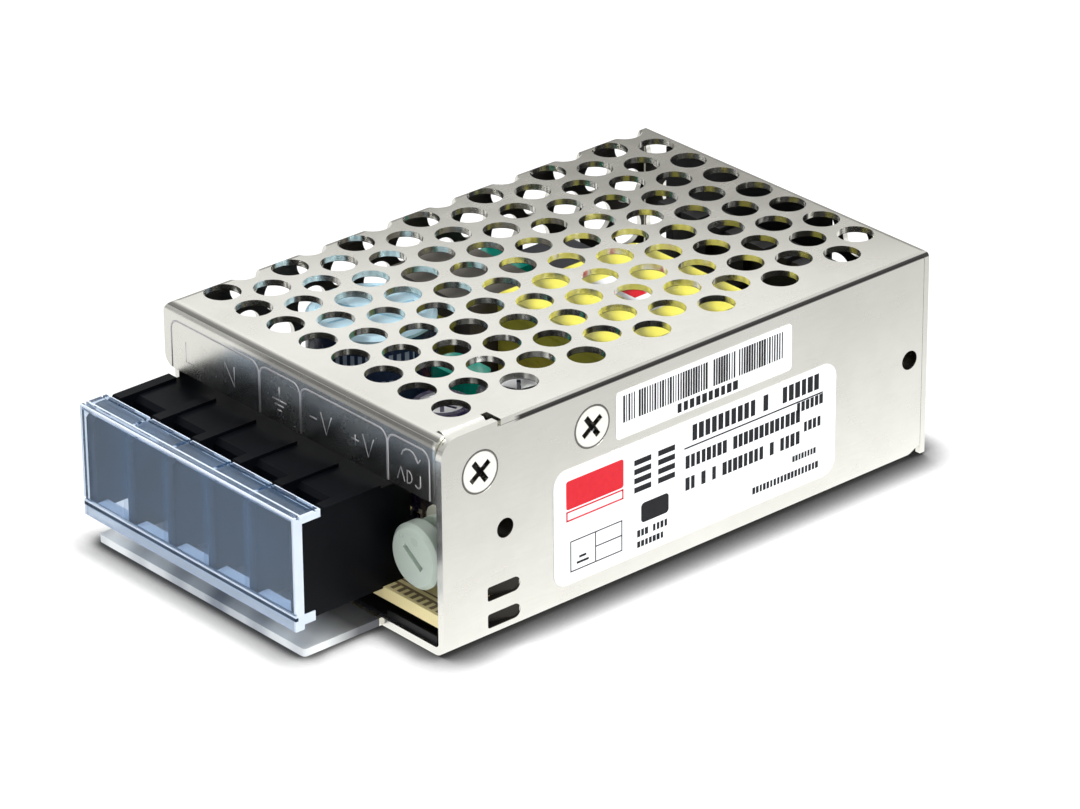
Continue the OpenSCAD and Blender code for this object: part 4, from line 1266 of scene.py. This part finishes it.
@dataclass
class PrintedLabels:
    """Both labels, with their print turned into plain bars, boxes and fields of colour.

    Places on them are counted from the case's front plane and its foot. A mark is its near, low,
    far and high edge, and the stacks are four bars high.
    """

    ink_t: float = 0.02
    sink: float = 0.008
    face: float = 0.0
    shift: float = 0.0
    tree: bpy.types.NodeTree | None = None
    marks: tuple[tuple[float, float, float, float], ...] = (
        (23.3, 4.4, 23.46, 8.5), (23.4, 6.4, 27.5, 6.56), (20.4, 5.2, 22.3, 5.5),
        (20.8, 5.9, 21.9, 6.2), (37.5, 14.35, 60.2, 14.55),
    )
    stacks: tuple[float, ...] = (29.5, 33.3)
    levels: tuple[float, ...] = (11.3, 12.5, 13.7, 14.9)

    def build(self) -> None:
        """Dresses the labels and lays the print on them."""
        PALETTE.dress(WHITE_PAPER, "label_stock", "rating_label", "serial_label")
        self.tree = bar_row_tree()
        self.face = span("rating_label")[1].x - self.sink
        self.shift = span("cover")[0].y
        for row in ROWS:
            self.row(row)
        self.fields()

    def row(self, row: BarRow) -> None:
        """Prints one row of bars.

        Args:
            row: the row.
        """
        name = f"print_{row.name}"
        host = add(name, bpy.data.meshes.new(name))
        modifier = host.modifiers.new("bars", "NODES")
        modifier.node_group = self.tree
        middle = (self.face + self.ink_t / 2, row.start + row.step / 2 + self.shift)
        tall = (row.top - row.foot) * MM
        given = {
            "Start": (middle[0] * MM, middle[1] * MM, (row.foot + row.top) / 2 * MM),
            "Step": (0.0, row.step * MM, 0.0),
            "Count": int((row.end - row.start) / row.step),
            "Least": (self.ink_t * MM, row.least * MM, tall),
            "Most": (self.ink_t * MM, row.step * row.fill * MM, tall),
            "Share": row.share,
            "Seed": row.seed,
            "Finish": PALETTE.get(BLACK_INK, "black_ink"),
        }
        for item in self.tree.interface.items_tree:
            if item.in_out == "INPUT":
                modifier[item.identifier] = given[item.name]
        graph = bpy.context.evaluated_depsgraph_get()
        mesh = bpy.data.meshes.new_from_object(host.evaluated_get(graph))
        host.modifiers.clear()
        host.data = mesh
        settle(host)

    def outline(
        self, maker: MeshMaker, y0: float, z0: float, y1: float, z1: float, w: float
    ) -> None:
        """Adds a rectangle drawn as four strips.

        Args:
            maker: the piece that it belongs to.
            y0, z0: its near and low edge.
            y1, z1: its far and high edge.
            w: the strips' width.
        """
        for strip in (
            (y0, z0, y1, z0 + w), (y0, z1 - w, y1, z1), (y0, z0, y0 + w, z1), (y1 - w, z0, y1, z1)
        ):
            self.patch(maker, *strip)

    def patch(
        self, maker: MeshMaker, y0: float, z0: float, y1: float, z1: float, r: float = 0.0
    ) -> None:
        """Adds a filled rectangle, with round corners if r is given.

        Args:
            maker: the piece that it belongs to.
            y0, z0: its near and low edge.
            y1, z1: its far and high edge.
            r: its corners' radius.
        """
        shape = rounded(y0, z0, y1, z1, r) if r else [(y0, z0), (y1, z0), (y1, z1), (y0, z1)]
        moved = [(y + self.shift, z) for y, z in shape]
        maker.prism(moved, "x", self.face, self.face + self.ink_t)

    def fields(self) -> None:
        """The coloured block, the boxes and the heavy marks."""
        red = MeshMaker()
        self.patch(red, 18.8, 12.75, 27.8, 16.5, 0.35)
        self.outline(red, 18.8, 11.2, 27.8, 12.55, 0.22)
        red.finish("print_red_field", RED_INK, "red_ink", slot="label_paper")
        dark = MeshMaker()
        self.outline(dark, 19.4, 4.4, 27.6, 8.5, 0.16)
        for mark in self.marks:
            self.patch(dark, *mark)
        for y in self.stacks:
            for z in self.levels:
                self.patch(dark, y, z, y + 2.7, z + 0.72)
        self.patch(dark, 30.6, 7.0, 35.0, 9.6, 0.5)
        dark.finish("print_marks", BLACK_INK, "black_ink", slot="label_paper")


@dataclass
class Terminals:
    """Barrier block, clamp screws and washers, and the clear cover in front of them."""

    ways: int = 5
    barrier: float = 1.5
    block: Moulded = Moulded((0.0025, 0.003, 0.0045), 0.36, 0.3, 0.4, 0.6, shine=0.07)
    contact: BrightSteel = BrightSteel((0.82, 0.79, 0.70), 0.3)
    washer: BrightSteel = BrightSteel((0.84, 0.82, 0.77), 0.24)

    def build(self) -> None:
        """Dresses the terminals."""
        PALETTE.dress(self.block, "black_block", "terminal_block")
        PALETTE.dress(self.contact, "tinned_brass", "terminal_contacts")
        numbers = range(1, self.ways + 1)
        head = BrightSteel(facing=Facing.FRONT, face=-span("terminal_screw_1")[0].y)
        PALETTE.dress(head, "terminal_screw_steel", *(f"terminal_screw_{n}" for n in numbers))
        PALETTE.dress(self.washer, "washer", *(f"clamp_washer_{n}" for n in numbers))
        low, high = span("terminal_cover")
        left, right = (corner.x for corner in span("terminal_block"))
        pitch = (right - left - self.barrier) / self.ways
        marks = tuple(left + n * pitch + self.barrier / 2 for n in range(1, self.ways))
        guard = ClearPlastic(tuple(low), tuple(high), marks)
        PALETTE.dress(guard, "clear_cover", "terminal_cover")


@dataclass
class Adjuster:
    """Output trimmer with its milky knob."""

    knob: MilkyPlastic = MilkyPlastic()
    body: Moulded = Moulded((0.80, 0.78, 0.66), 0.45)

    def build(self) -> None:
        """Dresses the trimmer."""
        PALETTE.dress(self.knob, "milky_knob", "trimmer_knob")
        PALETTE.dress(self.body, "cream_moulding", "trimmer_body")


@dataclass
class BoardParts:
    """Circuit board and everything that stands on it."""

    film_t: float = 0.25
    film_gap: float = 1.1
    film_foot: float = 6.3
    film_past: float = 7.0
    film_short: float = 5.0
    tag_at: tuple[float, float] = (5.6, 11.2)
    tag_size: tuple[float, float] = (10.6, 3.6)
    tag_field: tuple[float, float, float, float] = (2.4, 1.0, 6.6, 3.0)
    tag_t: float = 0.06
    tag_sink: float = 0.03

    def build(self) -> None:
        """Dresses the board and its parts."""
        board = Laminate(span("circuit_board")[0].y)
        PALETTE.dress(board, "board_laminate", "circuit_board")
        PALETTE.dress(BrightSteel(), "bright_screw", "board_standoffs", "board_screws")
        self.cans()
        self.moulded()
        self.magnetics()
        self.winding_tag()
        self.rear_film()

    def rear_film(self) -> None:
        """A thin black film that stands behind the heatsink, close to the back wall."""
        low, high = span("primary_heatsink")
        wall = span("cover")[1]
        back, top = wall.y - self.film_gap, wall.z - self.film_gap
        film = MeshMaker()
        film.box(
            (low.x - self.film_past, back - self.film_t, self.film_foot),
            (high.x - self.film_short, back, top),
        )
        film.finish("rear_film", BLACK_FILM, "black_film")

    def cans(self) -> None:
        """Sleeved electrolytic capacitors."""
        for node, tone, stripe, top in (
            # the bulk capacitor's pale blue top is a painted reflection on its aluminium
            ("bulk_capacitor", (0.02, 0.035, 0.08), (0.45, 0.53, 0.64), (0.52, 0.74, 0.86)),
            ("output_capacitor_1", (0.02, 0.022, 0.03), (0.4, 0.42, 0.45), None),
            ("output_capacitor_2", (0.02, 0.012, 0.06), (0.5, 0.5, 0.56), None),
        ):
            low, high = span(node)
            half = (high.x - low.x) / 2
            finish = Sleeve(tone, stripe, low.x + half, low.y + half, high.z, half - 1.2, top)
            PALETTE.dress(finish, f"{node}_sleeve", node)
        dipped = Moulded((0.02, 0.022, 0.12), 0.25, coat=0.4)
        PALETTE.dress(dipped, "small_sleeve", "small_capacitors")

    def moulded(self) -> None:
        """Moulded, dipped and anodised parts, each with its colour, roughness and coat."""
        for node, tone, rough, coat in (
            ("fuse", (0.035, 0.022, 0.018), 0.45, 0.0),
            ("thermistor", (0.02, 0.06, 0.045), 0.5, 0.0),
            ("varistor", (0.55, 0.07, 0.03), 0.25, 0.6),
            ("x_capacitor", (0.035, 0.037, 0.045), 0.45, 0.0),
            ("y_capacitors", (0.03, 0.16, 0.42), 0.25, 0.5),
            ("bridge_rectifier", EPOXY, 0.5, 0.0),
            ("switching_transistor", EPOXY, 0.5, 0.0),
            ("controller_ic", EPOXY, 0.5, 0.0),
            ("film_capacitor_front", (0.0, 0.30, 0.22), 0.2, 0.7),
            ("film_capacitor_side", (0.0, 0.26, 0.19), 0.2, 0.7),
            ("optocoupler", (0.78, 0.76, 0.68), 0.45, 0.0),
            ("output_diode", EPOXY, 0.5, 0.0),
            ("output_inductor", (0.02, 0.02, 0.022), 0.6, 0.0),
            ("resistors", (0.16, 0.36, 0.46), 0.35, 0.3),
            ("primary_heatsink", (0.018, 0.018, 0.02), 0.42, 0.0),
        ):
            PALETTE.dress(Moulded(tone, rough, coat=coat), f"{node}_skin", node)
        aluminium = BrightSteel((0.72, 0.73, 0.75), 0.32)
        PALETTE.dress(aluminium, "mill_aluminium", "diode_heat_spreader")

    def magnetics(self) -> None:
        """Choke and transformer."""
        front = span("transformer_winding")[0].y + 0.9
        for node, name, finish in (
            ("transformer_core", "ferrite", Moulded((0.045, 0.043, 0.04), 0.6, 0.2, 0.6, 0.15)),
            ("line_choke_core", "grey_ferrite", Moulded((0.10, 0.09, 0.075), 0.6, 0.15, 0.6, 0.15)),
            ("transformer_bobbin", "bobbin", Moulded((0.03, 0.026, 0.02), 0.5)),
            # painted shade: the choke's yellow tape is coloured dark olive
            ("line_choke_winding", "painted_shade_yellow_tape", Tape((0.36, 0.36, 0.05), (0.30, 0.30, 0.05))),
            # the winding's darker front face is painted shade
            ("transformer_winding", "yellow_tape",
             Tape((1.0, 0.93, 0.16), (0.52, 0.50, 0.07), front_y=front)),
        ):
            PALETTE.dress(finish, name, node)

    def winding_tag(self) -> None:
        """A small white tag with a red field, stuck on top of the winding."""
        low, high = span("transformer_winding")
        x, y, top = low.x + self.tag_at[0], low.y + self.tag_at[1], high.z
        wide, deep = self.tag_size
        tag, field = MeshMaker(), MeshMaker()
        tag.box((x, y, top - self.tag_sink), (x + wide, y + deep, top + self.tag_t))
        tag.finish("winding_tag", WHITE_PAPER, "label_stock")
        x0, y0, x1, y1 = self.tag_field
        field.box(
            (x + x0, y + y0, top + self.tag_sink),
            (x + x1, y + y1, top + self.tag_t + self.tag_sink),
        )
        field.finish("winding_tag_field", RED_INK, "red_ink")


def main() -> None:
    """Builds everything in order."""
    logging.basicConfig(level=logging.INFO, format="%(name)s: %(message)s")
    Studio().build()
    for assembly in (Case(), PrintedLabels(), Terminals(), Adjuster(), BoardParts()):
        assembly.build()
        log.info("finished %s", type(assembly).__name__)


if __name__ == "__main__":
    main()
